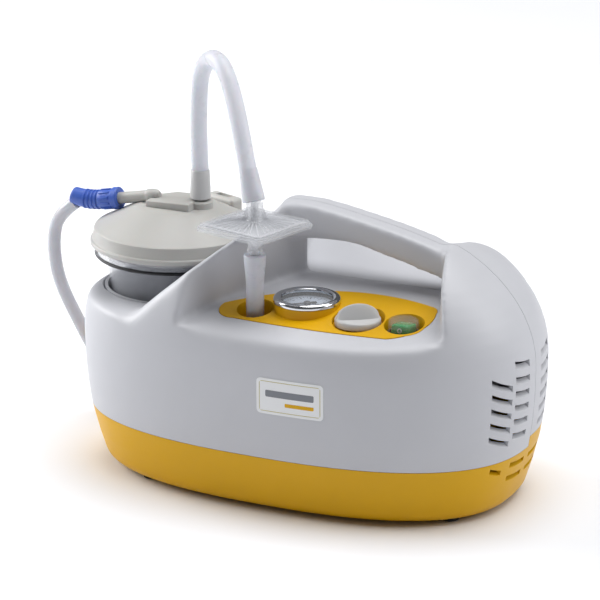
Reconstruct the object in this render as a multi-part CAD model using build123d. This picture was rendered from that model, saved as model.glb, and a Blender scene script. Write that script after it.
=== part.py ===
from build123d import *
import math
import os

# Portable suction pump (medical aspirator). Millimetres, +X towards the air vents, -Y the front,
# +Z up. The origin is on the floor under the middle of the body.

os.makedirs("parts", exist_ok=True)

# ---- Driving dimensions -----------------------------------------------------------------
body_half_length = 176.0
body_half_width = 107.0
belt_height = 107.0           # height where the body is widest
dome_rise = 102.0             # from the belt to the top of the body
outline_power = 2.5           # squareness of the plan outline
wall = 3.0
foot_height = 3.0
front_split = 46.0            # height of the joint between base tray and front shell
back_split = 54.0             # the base tray is taller at the back
base_outline = [(3.0, 155.0, 88.5), (5.0, 158.5, 92.0), (9.0, 161.5, 95.0),
                (46.0, 171.4, 104.4), (80.0, 175.3, 106.8)]
dome_steps = (0.0, 0.22, 0.42, 0.6, 0.75, 0.86, 0.94, 0.98)
outline_points = 32

jar_x = -112.8                # axis of the collection jar
ledge_height = 131.0          # flat top of the body around the jar
lid_bay_radius = 70.0         # clearance cut for the lid, above the ledge
jar_hole_radius = 54.8
ridge_slope = 0.87            # side view slope of the ridge from the ledge up to the handle
ridge_x, ridge_z = -99.0, 137.0

deck_height = 154.5           # hand recess floor on the centre plane
deck_fall = 0.2               # the front deck drops this much per millimetre towards the front
rear_deck_rise = 0.03
deck_left = [(-5.0, 0.0), (-26.0, -28.0), (-45.0, -57.0), (-59.0, -90.0), (-72.0, -130.0)]
deck_right = [(107.0, 0.0), (118.0, -40.0), (133.0, -73.0), (152.0, -90.0), (175.0, -130.0)]
rear_left = [(-5.0, 0.0), (-20.0, 28.0), (-32.0, 57.0), (-42.0, 90.0), (-52.0, 130.0)]
rear_right = [(107.0, 0.0), (116.0, 30.0), (126.0, 60.0), (137.0, 90.0), (150.0, 130.0)]

handle_half_width = 14.0
handle_top = [(-22.0, 208.0), (0.0, 209.0), (20.0, 206.5), (53.0, 200.5), (75.0, 196.0),
              (102.0, 189.0), (128.0, 178.0)]
handle_under = [(-22.0, 182.0), (2.0, 182.5), (20.0, 184.5), (40.0, 184.0), (60.0, 178.5),
                (80.0, 174.0), (106.0, 168.0), (128.0, 160.0)]

gauge_at = (17.0, -46.5)
gauge_top = 152.0
bezel_radius = 24.5
bezel_height = 4.2
knob_at = (62.0, -57.0)
knob_radius = 16.6
switch_at = (96.5, -54.5)
socket_at = (-16.5, -63.0)
socket_radius = 13.0
tube_outer, tube_bore = 6.5, 4.5
nipple_radius = 4.2

filter_half_side = 30.0
filter_turn = 76.0            # turn of the square filter about its vertical axis, degrees
filter_low, filter_high = 201.5, 208.5

port_at = (-93.5, 1.0)        # vacuum port on the lid
bridge_diameter = 12.8
bridge_route = [(-93.5, 1.0, 220.4), (-94.5, 1.0, 246.0), (-94.0, 1.0, 273.0), (-89.0, -5.0, 298.0),
                (-73.0, -17.0, 313.0), (-55.0, -32.0, 308.0), (-40.0, -45.0, 285.0),
                (-28.0, -56.0, 257.0), (-18.0, -63.0, 226.0)]

motor_y, motor_z = 25.0, 58.0
crank_throw = 4.0
pin_radius = 3.0
pump_x = 8.0
bore_radius = 16.0

hose_diameter = 10.0
connector_tilt = 11.0         # degrees below horizontal
port_exit = (-131.0, -4.0, 196.9)
hose_route = [(-196.5, -4.0, 183.6), (-213.0, -3.0, 172.0), (-223.0, 1.0, 148.0),
              (-224.0, 9.0, 116.0), (-213.0, 22.0, 80.0), (-203.0, 38.0, 44.0),
              (-194.0, 62.0, 16.0), (-181.0, 88.0, 5.0), (-160.0, 114.0, 5.0),
              (-137.0, 138.0, 5.0), (-124.0, 162.0, 5.0)]
coil_at = (-60.0, 190.0)
coil_radius = 55.0
coil_layers = 2

louvre_pitch = 10.4
louvre_height = 4.4


# ---- Small helpers -----------------------------------------------------------------------
def rod(radius, low, high, at=(0.0, 0.0)):
    """Vertical cylinder between two heights."""
    return Pos(at[0], at[1], (low + high) / 2) * Cylinder(radius, high - low)


def ring(outer, inner, low, high, at=(0.0, 0.0)):
    """Vertical tube between two heights."""
    return rod(outer, low, high, at) - rod(inner, low - 1, high + 1, at)


def block(x, y, z):
    """Box from three (low, high) pairs."""
    size = [pair[1] - pair[0] for pair in (x, y, z)]
    middle = [(pair[0] + pair[1]) / 2 for pair in (x, y, z)]
    return Pos(*middle) * Box(*size)


def axle(radius, low, high, y=motor_y, z=motor_z):
    """Cylinder along X between two places."""
    return Pos((low + high) / 2, y, z) * Rot(0, 90, 0) * Cylinder(radius, high - low)


def cross_rod(radius, low, high, x, z):
    """Cylinder along Y between two places."""
    return Pos(x, (low + high) / 2, z) * Rot(90, 0, 0) * Cylinder(radius, high - low)


def turned(profile, at):
    """Solid of revolution about a vertical axis from (radius, height) points."""
    outline = make_face(Polyline(*[(r, 0, z) for r, z in profile], close=True))
    return Pos(at[0], at[1], 0) * revolve(outline, Axis.Z)


def side_prism(points, half_width):
    """Side view outline extruded both ways across the body."""
    face = make_face(Polyline(*[(x, 0, z) for x, z in points], close=True))
    return extrude(face, amount=half_width, dir=(0, 1, 0), both=True)


def round_path(points):
    """Runs joined by tangent arcs, each as large as its two runs allow."""
    radii = []
    for before, corner, after in zip(points, points[1:], points[2:]):
        inward = Vector(*corner) - Vector(*before)
        outward = Vector(*after) - Vector(*corner)
        half_turn = math.radians(inward.get_angle(outward)) / 2
        shorter = min(inward.length, outward.length)
        radii.append(0.45 * shorter / math.tan(half_turn))
    return FilletPolyline(*points, radius=radii), radii


def hose(name, points, diameter):
    """Solid round hose along a route, with its bend radii and volume printed."""
    path, radii = round_path(points)
    section = Plane(origin=path @ 0, z_dir=path % 0) * Circle(diameter / 2)
    body = sweep(section, path=path)
    ideal = math.pi * diameter ** 2 / 4 * path.length
    print(name, "length", round(path.length, 1), "volume ratio", round(body.volume / ideal, 4),
          "radii", [round(r) for r in radii])
    return body


# ---- Outer form --------------------------------------------------------------------------
def outline(a, b, z):
    """Superellipse plan outline at one height."""
    points = []
    for step in range(outline_points):
        angle = 2 * math.pi * step / outline_points
        c, s = math.cos(angle), math.sin(angle)
        x = a * math.copysign(abs(c) ** (2 / outline_power), c)
        y = b * math.copysign(abs(s) ** (2 / outline_power), s)
        points.append((x, y, z))
    return make_face(Spline(*points, periodic=True))


def ridge_cut(inset):
    """Everything above the jar ledge and the sloping ridge on the left."""
    ledge = ledge_height - inset
    lowered = ridge_z - inset * math.hypot(1, ridge_slope)
    knee = ridge_x + (ledge - lowered) / ridge_slope
    top = 260.0
    far = ridge_x + (top - lowered) / ridge_slope
    return side_prism([(-260, ledge), (knee, ledge), (far, top), (-260, top)], 150)


def deck_cut(left, right, edge_height, inset):
    """Hand recess on one side of the handle, above its sloping floor."""
    side = math.copysign(1, left[-1][1])
    over = [(left[0][0], -side * 6)] + left + right[::-1] + [(right[0][0], -side * 6)]
    plan = offset(make_face(Polyline(*over, close=True)), amount=inset) if inset else \
        make_face(Polyline(*over, close=True))
    prism = extrude(Pos(0, 0, 100) * plan, amount=160)
    floor = [(-side * 40, deck_height - inset), (0, deck_height - inset),
             (side * 160, edge_height - inset), (side * 160, 300), (-side * 40, 300)]
    profile = make_face(Polyline(*[(0, y, z) for y, z in floor], close=True))
    return prism & extrude(profile, amount=260, dir=(1, 0, 0), both=True)


def handle(inset):
    """Carrying handle over the hand recess, with a waved grip underneath."""
    top = [(x, 0, z - inset) for x, z in handle_top]
    under = [(x, 0, z + inset) for x, z in handle_under]
    upper, lower = Spline(*top), Spline(*under)
    face = make_face([upper, lower, Line(upper @ 0, lower @ 0), Line(upper @ 1, lower @ 1)])
    half = handle_half_width - inset
    bar = extrude(face, amount=half, dir=(0, 1, 0), both=True)
    long_edges = bar.edges().filter_by(lambda e: abs(abs(e.center().Y) - half) < 0.1 and e.length > 60)
    return fillet(long_edges, 6.0 - inset)


def form(inset):
    """The body's outer form, or the same form shrunk by a wall thickness."""
    sections = []
    for z, a, b in base_outline:
        raised = z + inset * (belt_height - z) / (belt_height - foot_height)
        sections.append(outline(a - inset, b - inset, raised))
    for step in dome_steps:
        share = (1 - step ** 2) ** (1 / outline_power)
        height = belt_height + (dome_rise - inset) * step
        sections.append(outline((body_half_length - inset) * share,
                                (body_half_width - inset) * share, height))
    body = loft(sections)
    body -= ridge_cut(inset)
    body -= rod(lid_bay_radius + inset, ledge_height - inset, 260, (jar_x, 0))
    body -= deck_cut(deck_left, deck_right, deck_height - 160 * deck_fall, inset)
    body -= deck_cut(rear_left, rear_right, deck_height + 160 * rear_deck_rise, inset)
    return body + handle(inset)


def above(z_front, z_back):
    """Space of the front shell and of the back shell."""
    front = block((-200, 200), (-150, 0), (z_front, 260))
    back = block((-200, 200), (0, 150), (z_back, 260))
    return front, back


def deck_z(y):
    """Height of the front deck at one place."""
    return deck_height + deck_fall * y


def leaf(grow):
    """Leaf shaped outline of the control panel, grown or shrunk by a margin."""
    back = ThreePointArc((-42.0, -61.0), (31.0, -22.5), (105.0, -25.0))
    corner = ThreePointArc((105.0, -25.0), (110.5, -28.0), (112.3, -34.0))
    end = ThreePointArc((112.3, -34.0), (110.0, -60.0), (92.0, -76.5))
    front = ThreePointArc((92.0, -76.5), (30.0, -80.0), (-26.0, -79.0))
    tip = ThreePointArc((-26.0, -79.0), (-40.5, -73.0), (-42.0, -61.0))
    face = make_face([back, corner, end, front, tip])
    return offset(face, amount=grow) if grow else face


def between_decks(low, high):
    """Slab that follows the front deck between two offsets from it."""
    points = [(-120, deck_z(-120) + low), (10, deck_z(10) + low),
              (10, deck_z(10) + high), (-120, deck_z(-120) + high)]
    profile = make_face(Polyline(*[(0, y, z) for y, z in points], close=True))
    return extrude(profile, amount=200, dir=(1, 0, 0), both=True)


# ---- Casing ------------------------------------------------------------------------------
inlet_x, inlet_z, fuse_x = 72.0, 85.0, 32.0
flat_y = 100.0                # flat for the power inlet in the back wall
shell_boss = [(165.0, 80.0), (148.0, 152.0), (-24.0, 178.0)]
base_boss = [(-60.0, -80.0), (60.0, -80.0), (-60.0, 80.0), (60.0, 80.0)]
board_posts = [(-36.0, -66.0), (8.0, -66.0), (-36.0, -30.0), (8.0, -30.0)]


def louvres():
    """Air slots through the right end wall, mirrored about the centre plane."""
    cuts = []
    for side in (-1, 1):
        columns = [(33.5, 52.0, range(0, 5)), (11.0, 30.0, range(0, 6))]
        for near, far, rows in columns:
            y = sorted((side * near, side * far))
            for row in rows:
                low = 60.0 + louvre_pitch * row
                cuts.append(block((120, 190), y, (low, low + louvre_height)))
        for near, far, low in ((35.0, 46.0, 36.5), (4.0, 26.0, 36.5), (4.0, 26.0, 26.0)):
            cuts.append(block((120, 190), sorted((side * near, side * far)), (low, low + louvre_height)))
    return cuts


def casing():
    """Front shell, back shell and base tray, cut from one hollow form, without loose slivers."""
    outer = form(0)
    hollow = outer - form(wall)
    hollow -= rod(jar_hole_radius, 100, 260, (jar_x, 0))
    hollow -= extrude(Pos(0, 0, 100) * leaf(0.3), amount=100) & between_decks(-12, 12)
    hollow -= rod(bezel_radius + 0.4, gauge_top - bezel_height, 170, gauge_at)
    hollow -= rod(22.9, 120, 170, gauge_at)
    for cut in louvres():
        hollow -= cut
    front_space, back_space = above(front_split, back_split)
    front = hollow & front_space
    back = hollow & back_space
    tray = hollow - front_space - back_space

    back += block((16, 102), (flat_y - wall, flat_y), (68, 102)) & outer
    back -= block((20, 100), (flat_y, 130), (70, 100))
    back -= block((inlet_x - 14.3, inlet_x + 14.3), (90, 110), (inlet_z - 10.5, inlet_z + 10.5))
    back -= cross_rod(6.3, 90, 110, fuse_x, inlet_z)

    for x, z in shell_boss:
        front += cross_rod(5.5, -16, 0, x, z) & outer
        front -= cross_rod(1.85, -14, 1, x, z)
        back += (cross_rod(5.5, 0, 120, x, z) & outer) - front_space
        back -= cross_rod(3.7, 5, 130, x, z)
        back -= cross_rod(2.0, -1, 6, x, z)
    rib = block((-41, -7), (-16, -14), (172, 184)) & outer
    front += rib
    back += Pos(0, 30, 0) * rib

    for x, y in base_boss:
        split = front_split if y < 0 else back_split
        wall_y = math.copysign(102, y)
        post = rod(5.0, split, split + 18, (x, y))
        gusset = block((x - 1, x + 1), sorted((y, wall_y)), (split + 4, split + 18))
        bore = rod(1.85, split - 1, split + 15, (x, y))
        if y < 0:
            front = front + post + gusset - bore
        else:
            back = back + post + gusset - bore
        tray += rod(5.0, 5, split, (x, y))
        tray -= rod(2.1, 0, split + 1, (x, y))
        tray -= rod(3.9, 0, foot_height + 2.4, (x, y))
    for x, y in board_posts:
        tray += rod(3.0, 5, 16, (x, y))
    largest = [shape.solids().sort_by(SortBy.VOLUME)[-1] for shape in (front, back, tray)]
    return largest


feet = [(-101.0, -66.0), (131.0, -47.0), (-101.0, 66.0), (131.0, 47.0)]


def rubber_feet():
    """Four rubber feet under the base tray."""
    return [rod(6.5, 0, foot_height, at) for at in feet]


def case_screws():
    """Three long screws that join the two shells, with heads at the back."""
    return [cross_rod(1.75, -12, 5, x, z) + cross_rod(3.4, 5, 7.6, x, z) for x, z in shell_boss]


def base_screws():
    """Four screws from below through the base tray."""
    made = []
    for x, y in base_boss:
        split = front_split if y < 0 else back_split
        head_top = foot_height + 2.4
        made.append(rod(3.5, head_top - 2.0, head_top, (x, y)) + rod(1.75, head_top, split + 12, (x, y)))
    return made


def label_plate():
    """Blank rating badge on the front, following the body's curve."""
    skin = form(-0.5) - form(-0.05)
    card = block((6.5, 57.5), (-115, -90), (81.5, 108))
    return skin & fillet(card.edges().filter_by(Axis.Y), 3.0)


def jar_cradle():
    """Cup inside the body that holds the jar, on four legs."""
    cup = turned([(0, 34), (51, 34), (54.5, 127.8), (54.5, 131), (52.2, 131), (48.6, 37), (0, 37)],
                 (jar_x, 0))
    for angle in (45, 135, 225, 315):
        x = jar_x + 36 * math.cos(math.radians(angle))
        y = 36 * math.sin(math.radians(angle))
        cup += rod(5, 6, 35, (x, y))
    return cup


# ---- Control panel -----------------------------------------------------------------------
def control_panel():
    """Leaf shaped panel with its gauge boss, knob recess, switch well and tube socket."""
    plate = extrude(Pos(0, 0, 100) * leaf(0), amount=100) & between_decks(-3, 0.4)
    plate += rod(socket_radius + 2, 124, deck_z(socket_at[1]) + 4, socket_at) - between_decks(0.4, 60)
    plate += rod(20.5, 136, deck_z(knob_at[1]) + 5, knob_at) - between_decks(0.4, 60)
    plate += rod(16, 132, deck_z(switch_at[1]) + 5, switch_at) - between_decks(0.4, 60)
    plate += rod(bezel_radius - 0.3, 130, gauge_top - bezel_height, gauge_at) - between_decks(-60, -3)
    plate &= extrude(Pos(0, 0, 100) * leaf(0), amount=100)
    plate -= rod(bezel_radius + 0.4, gauge_top - bezel_height, 170, gauge_at)
    plate -= rod(22.8, 100, 170, gauge_at)
    plate -= rod(socket_radius, 127, 170, socket_at)
    plate -= rod(5.2, 100, 170, socket_at)
    plate -= rod(18.5, 139, 170, knob_at)
    plate -= rod(3.6, 100, 170, knob_at)
    plate -= rod(14, 135, 170, switch_at)
    plate -= rod(10.1, 100, 170, switch_at)
    return plate


def gauge():
    """Vacuum gauge: case with rear barb, bezel, dial and window."""
    low = gauge_top - 28
    lip = gauge_top - bezel_height
    case = rod(22.5, low, lip, gauge_at) - rod(21, low + 2, gauge_top, gauge_at)
    case += rod(5, low - 5, low, gauge_at) + rod(2.6, low - 14, low, gauge_at)
    case += rod(2.0, low + 2, gauge_top - 9.6, gauge_at)
    profile = [(bezel_radius - 3.6, lip), (bezel_radius, lip), (bezel_radius, gauge_top - 1.6),
               (bezel_radius - 1.4, gauge_top), (bezel_radius - 3.2, gauge_top),
               (bezel_radius - 4.6, gauge_top - 1.4), (bezel_radius - 3.6, gauge_top - 1.6)]
    bezel = turned(profile, gauge_at)
    dial = ring(20.0, 2.3, gauge_top - 10.4, gauge_top - 9.8, gauge_at)
    dial += ring(20.9, 19.0, low + 2, gauge_top - 10.4, gauge_at)
    window = rod(20.7, gauge_top - 3.6, gauge_top - 1.8, gauge_at)
    return {"gauge_case": case, "gauge_bezel": bezel, "gauge_dial": dial, "gauge_window": window}


def gauge_needle():
    """Pointer on its hub."""
    z = gauge_top - 8.6
    hub = rod(2.6, gauge_top - 9.4, z + 2.0, gauge_at)
    pointer = block((-1.1, 1.1), (-16.0, 6.0), (z, z + 0.6))
    return hub + Pos(gauge_at[0], gauge_at[1], 0) * Rot(0, 0, -50) * pointer


def regulator():
    """Vacuum regulator: knob with a finger bar, stem and valve body under the panel."""
    disc = rod(knob_radius, 140, 147, knob_at)
    disc = chamfer(disc.edges().group_by(Axis.Z)[-1], 1.5)
    bar = block((-knob_radius + 0.6, knob_radius - 0.6), (-5.5, 5.5), (146, 153.5))
    bar = fillet(bar.edges().group_by(Axis.Z)[-1], 1.5)
    knob = disc + Pos(knob_at[0], knob_at[1], 0) * Rot(0, 0, 30) * bar
    stem = rod(3.0, 120, 140, knob_at)
    valve = rod(12, 112, 136, knob_at) - rod(3.1, 119, 140, knob_at)
    for offset_x in (-6.0, 6.0):
        valve += rod(2.6, 104, 113, (knob_at[0] + offset_x, knob_at[1]))
    valve += axle(2.6, knob_at[0] - 18, knob_at[0] - 11, knob_at[1], 118)
    return {"regulator_knob": knob, "regulator_stem": stem, "regulator_valve": valve}


def power_switch():
    """Round rocker switch with a clear splash boot."""
    x, y = switch_at
    body = rod(9.8, 118, 135, switch_at) + rod(11.4, 135, 137.4, switch_at)
    body -= block((x - 7.2, x + 7.2), (y - 8.2, y + 8.2), (128, 140))
    for shift in (-5, 5):
        body += block((x + shift - 0.4, x + shift + 0.4), (y - 3, y + 3), (110, 119))
    rocker = fillet(Box(12.6, 14.6, 7.0).edges().filter_by(Axis.X), 1.6)
    rocker = Pos(x, y, 138.5) * Rot(-8, 0, 0) * rocker + axle(0.9, x - 9, x + 9, y, 138.5)
    collar = ring(11.4, 10.0, 137.4, 139.2, switch_at)
    boot = turned([(10.0, 139.2), (11.2, 139.2), (11.0, 146.5), (9.6, 148.6), (0, 149.2), (0, 148.4),
                   (9.2, 147.8), (10.2, 146.2)], switch_at)
    return {"switch_body": body, "switch_rocker": rocker, "boot_collar": collar, "switch_boot": boot}


def suction_inlet():
    """Barbed nipple in the panel socket, with a tail below for the inner line."""
    part = rod(7.5, 127, 129, socket_at) + rod(nipple_radius, 129, 142, socket_at)
    part += rod(5.0, 118, 127, socket_at) + rod(2.6, 108, 118, socket_at)
    return part - rod(1.8, 100, 150, socket_at)


# ---- Filter and bridge hose --------------------------------------------------------------
def filter_square(half_side, low, high):
    """Square slab of the bacterial filter at its turn, with rounded corners."""
    slab = block((-half_side, half_side), (-half_side, half_side), (low, high))
    slab = fillet(slab.edges().filter_by(Axis.Z), 3.0)
    return Pos(socket_at[0], socket_at[1], 0) * Rot(0, 0, filter_turn) * slab


def air_filter():
    """Clear filter housing halves and the membrane between them."""
    middle = (filter_low + filter_high) / 2
    bottom = filter_square(filter_half_side, filter_low, middle)
    bottom -= filter_square(filter_half_side - 3, middle - 1.4, middle + 1)
    bottom += rod(tube_bore - 0.1, 172, filter_low, socket_at) - rod(2.6, 170, 210, socket_at)
    top = filter_square(filter_half_side - 1, middle, filter_high)
    top -= filter_square(filter_half_side - 4, middle - 1, middle + 1.6)
    top += rod(4.6, filter_high, 232, socket_at)
    top -= rod(2.8, 190, 240, socket_at)
    membrane = filter_square(filter_half_side - 4.5, middle - 0.5, middle + 0.5)
    return {"filter_bottom": bottom, "filter_top": top, "filter_membrane": membrane}


def inlet_tube():
    """Short silicone tube from the socket nipple up to the filter, flared at the top."""
    return turned([(tube_bore, 131), (tube_outer, 131), (tube_outer, 166), (8.0, 178), (8.0, 183),
                   (tube_bore, 183)], socket_at)


def bridge_hose():
    """Stiff hose that arches from the lid port over to the filter, with a flared end."""
    arch = hose("bridge_hose", bridge_route, bridge_diameter)
    return arch - rod(4.7, 200, 233, socket_at)


# ---- Collection jar ----------------------------------------------------------------------
jar_at = (jar_x, 0.0)


def canister_jar():
    """Tapered clear jar with a collar under the lid."""
    return turned([(0, 37.2), (44, 37.2), (46.5, 40), (49.8, 131), (53.4, 152), (60.5, 157), (62, 158),
                   (62, 163), (58.5, 163), (58.5, 160), (51.2, 151.5), (47.7, 131), (44.5, 42),
                   (42, 39.7), (0, 39.7)], jar_at)


def jar_gasket():
    """Black ring under the jar collar."""
    return turned([(58.4, 155.0), (60.2, 156.4), (61.6, 157.4), (61.9, 155.4), (59.0, 153.0)], jar_at)


def canister_lid():
    """Domed lid with a rim, a grip bead, a port block and a locking hump."""
    lid = turned([(0, 192), (27, 192), (32, 190.2), (58.6, 176.8), (60.4, 175.6), (61.8, 175.4),
                  (63.0, 167.2), (64.7, 166.4), (64.7, 163.1), (57.4, 163.1), (57.4, 159.5),
                  (55.0, 159.5), (55.0, 174.5), (32, 187.6), (27, 189.4), (0, 189.4)], jar_at)
    port_block = block((-130, -94), (-17, 14), (185, 197.5)) - rod(26, 150, 190, jar_at)
    lid += fillet(port_block.edges().group_by(Axis.Z)[-1], 1.2)
    hump = fillet(Box(30, 12, 12).edges().group_by(Axis.Z)[-1], 3.0)
    hump = Pos(-97, 46, 183) * Rot(0, 0, -20) * hump
    lid += hump - turned([(0, 100), (60, 100), (60, 174), (32, 188), (0, 188)], jar_at)
    lid += rod(4.6, 191, 206, port_at)
    return lid - rod(2.8, 180, 210, port_at) - port_rod(4.42, 0.5, 60)


def float_cage():
    """Cage under the lid that guides the overflow float."""
    at = port_at
    cage = ring(7.8, 6.6, 148, 189.4, at)
    for angle in (0, 90):
        slot = Pos(at[0], at[1], 163) * Rot(0, 0, angle) * Box(30, 7, 22)
        cage -= slot
    return cage + ring(7.8, 3, 146, 148, at)


def float_ball():
    """Float that rises and shuts the vacuum port."""
    return Pos(port_at[0], port_at[1], 154.2) * Sphere(6.2)


def hose_adapter():
    """Rigid sleeve over the vacuum port."""
    return turned([(4.7, 198.5), (7.7, 198.5), (7.1, 220.4), (3.0, 220.4), (3.0, 207), (4.7, 207)], port_at)


# ---- Patient side ------------------------------------------------------------------------
def along_port(distance):
    """A point on the tilted patient port's axis."""
    tilt = math.radians(connector_tilt)
    x, y, z = port_exit
    return (x - distance * math.cos(tilt), y, z - distance * math.sin(tilt))


def port_rod(radius, start, stop):
    """Cylinder on the patient port's axis."""
    direction = (-math.cos(math.radians(connector_tilt)), 0, -math.sin(math.radians(connector_tilt)))
    face = Plane(origin=along_port(start), z_dir=direction) * Circle(radius)
    return extrude(face, amount=stop - start)


def patient_port():
    """Tube that leaves the port block towards the patient hose."""
    return port_rod(4.4, 0.6, 34) - port_rod(2.6, -1, 35)


def hose_connector():
    """Soft ribbed connector between the port and the patient hose, slightly bent at the end."""
    sleeve = port_rod(7.4, 28, 40) + port_rod(6.9, 40, 55)
    for start in (45, 49, 53):
        sleeve += port_rod(7.4, start, start + 2)
    bend = [along_port(55), along_port(59), hose_route[0]]
    path = FilletPolyline(*bend, radius=6)
    tail = sweep(Plane(origin=path @ 0, z_dir=path % 0) * Circle(6.9), path=path)
    return sleeve + tail - port_rod(4.45, 20, 34.1)


def patient_coil():
    """Outer shape of the stored turns of patient hose, lying on the floor."""
    section = block((coil_radius - hose_diameter, coil_radius + hose_diameter), (-1, 1),
                    (0, coil_layers * hose_diameter))
    face = section.faces().sort_by(Axis.Y)[0]
    return Pos(coil_at[0], coil_at[1], 0) * revolve(Pos(0, 1, 0) * face, Axis.Z)


def end_connector():
    """Tapered ribbed connector at the far end, lying on the coil."""
    top = coil_layers * hose_diameter
    piece = Cylinder(7.4, 16) + Pos(0, 0, 16) * Cone(6.9, 5.0, 16) + Pos(0, 0, 28) * Cone(5.0, 4.4, 8)
    piece -= Pos(0, 0, 10) * Cylinder(2.6, 60)
    x = coil_at[0] - coil_radius
    return Pos(x, coil_at[1] + 2, top + 7.5) * Rot(-90, 0, 0) * piece


# ---- Motor and pump ----------------------------------------------------------------------
def motor():
    """Motor with end bells, bearings, rotor, fan and crank."""
    housing = axle(36, 40, 106) - axle(21, 30, 120)
    bells = [axle(34, 36, 40) - axle(11.05, 30, 50), axle(34, 106, 110) - axle(11.05, 100, 120)]
    bearings = [axle(11, 36, 40) - axle(4.05, 30, 50), axle(11, 106, 110) - axle(4.05, 100, 120)]
    rotor = axle(20, 48, 98) + axle(4, 18, 130)
    fan = axle(9, 116, 128) - axle(4.02, 100, 140)
    for blade in range(7):
        angle = 360 / 7 * blade
        vane = Pos(122, 0, 19) * Rot(0, 0, 28) * Box(12, 1.6, 22)
        fan += Pos(0, motor_y, motor_z) * Rot(angle, 0, 0) * vane
    crank = axle(14, 14, 22) - axle(4.02, 18, 30) + axle(pin_radius, 2, 14, motor_y + crank_throw)
    return {"motor_housing": housing, "motor_end_bells": bells, "shaft_bearings": bearings,
            "motor_rotor": rotor, "cooling_fan": fan, "crank": crank}


def connecting_rod():
    """One piece rod and wobble piston. The eye is opened so that the crank pin runs clear."""
    eye = axle(15, 4, 12) - axle(11.6, 0, 20)
    shank = block((5, 11), (motor_y - 4, motor_y + 4), (motor_z + 13, 93))
    return eye + shank + rod(bore_radius - 0.3, 92, 102, (pump_x, motor_y))


def pump():
    """Cylinder, head with two ports, its screws and the bracket that carries them."""
    at = (pump_x, motor_y)
    cylinder = ring(19, bore_radius, 84, 110, at)
    for fin in (90, 95, 100, 105):
        cylinder += ring(22, 18, fin, fin + 1.6, at)
    head = block((pump_x - 22, pump_x + 22), (motor_y - 22, motor_y + 22), (110, 120))
    head = fillet(head.edges().filter_by(Axis.Z), 5)
    for shift in (-10, 10):
        head += rod(2.6, 120, 130, (pump_x + shift, motor_y))
    corners = [(pump_x + dx, motor_y + dy) for dx in (-17, 17) for dy in (-17, 17)]
    for corner in corners:
        head -= rod(1.9, 100, 125, corner)
    screws = [rod(3.0, 120, 122.4, c) + rod(1.8, 111, 120, c) for c in corners]
    bracket = block((30, 36), (motor_y - 30, motor_y + 30), (26, 88)) - axle(12, 20, 50)
    shelf = block((pump_x - 22, 31), (motor_y - 22, motor_y + 22), (80, 84))
    bracket += shelf - rod(16.4, 70, 90, at)
    return {"pump_cylinder": cylinder, "cylinder_head": head, "head_screws": screws,
            "pump_bracket": bracket}


def motor_mounting():
    """Saddle plate under the motor and the rubber mounts it stands on."""
    plate = block((44, 102), (-7, 57), (16, 19))
    for low in (48, 92):
        plate += block((low, low + 6), (0, 50), (18, 38)) - axle(36.2, 30, 120)
    mounts = [rod(7, 6, 16, (x, y)) for x in (52, 94) for y in (1, 49)]
    return {"motor_saddle": plate, "rubber_mounts": mounts}


def inner_lines():
    """Silicone lines between the inlet, gauge, regulator and pump."""
    kx, ky = knob_at
    gx, gy = gauge_at
    sx, sy = socket_at
    jar_line = [(sx, sy, 108), (sx, sy, 90), (0, -67, 78), (36, -67, 78), (kx - 6, ky, 90), (kx - 6, ky, 104)]
    gauge_line = [(gx, gy, 108), (gx, gy - 1, 92), (gx + 6, ky + 4, 84), (gx + 16, ky, 96),
                  (gx + 18, ky, 118), (kx - 18, ky, 118)]
    pump_line = [(kx + 6, ky, 104), (kx + 6, ky, 90), (52, -34, 84), (20, -20, 96), (-4, -6, 124),
                 (-4, 6, 144), (-2, 25, 146), (-2, 25, 130)]
    return {"jar_line": hose("jar_line", jar_line, 7), "gauge_line": hose("gauge_line", gauge_line, 6),
            "pump_line": hose("pump_line", pump_line, 7)}


def electrics():
    """Circuit board, capacitor, power inlet, fuse holder and exhaust muffler."""
    board = block((-41, 13), (-71, -25), (16, 17.6))
    board += block((-34, -14), (-62, -46), (17.6, 33)) + block((-8, 8), (-58, -38), (17.6, 28))
    board += block((-30, 2), (-36, -28), (17.6, 27))
    capacitor = axle(13, -30, 24, 74, 19.2)
    inlet = block((inlet_x - 25, inlet_x + 25), (flat_y, flat_y + 2.6), (inlet_z - 11.5, inlet_z + 11.5))
    inlet = fillet(inlet.edges().filter_by(Axis.Y), 3)
    inlet += block((inlet_x - 14, inlet_x + 14), (82, flat_y), (inlet_z - 10.2, inlet_z + 10.2))
    inlet -= block((inlet_x - 12.2, inlet_x + 12.2), (86, 110), (inlet_z - 8.2, inlet_z + 8.2))
    for x, z in ((-7, -1.5), (7, -1.5), (0, 3)):
        inlet += block((inlet_x + x - 1, inlet_x + x + 1), (80, 98), (inlet_z + z - 2, inlet_z + z + 2))
    fuse = cross_rod(6.0, 66, flat_y, fuse_x, inlet_z) + cross_rod(8.2, flat_y, flat_y + 3.5, fuse_x, inlet_z)
    fuse -= block((fuse_x - 5, fuse_x + 5), (flat_y + 2.3, flat_y + 5), (inlet_z - 0.7, inlet_z + 0.7))
    muffler = axle(11, -34, 4, 62, 100) + axle(2.6, 4, 12, 62, 100)
    muffler += block((-20, -14), (60, 64), (106, 151))
    return {"circuit_board": board, "run_capacitor": capacitor, "power_inlet": inlet,
            "fuse_holder": fuse, "exhaust_muffler": muffler}


# ---- Everything --------------------------------------------------------------------------
def solids_of(shape):
    """Flat list of the solids in a shape or a list of shapes."""
    if isinstance(shape, (list, tuple)):
        return [solid for item in shape for solid in item.solids()]
    return list(shape.solids())


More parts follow.
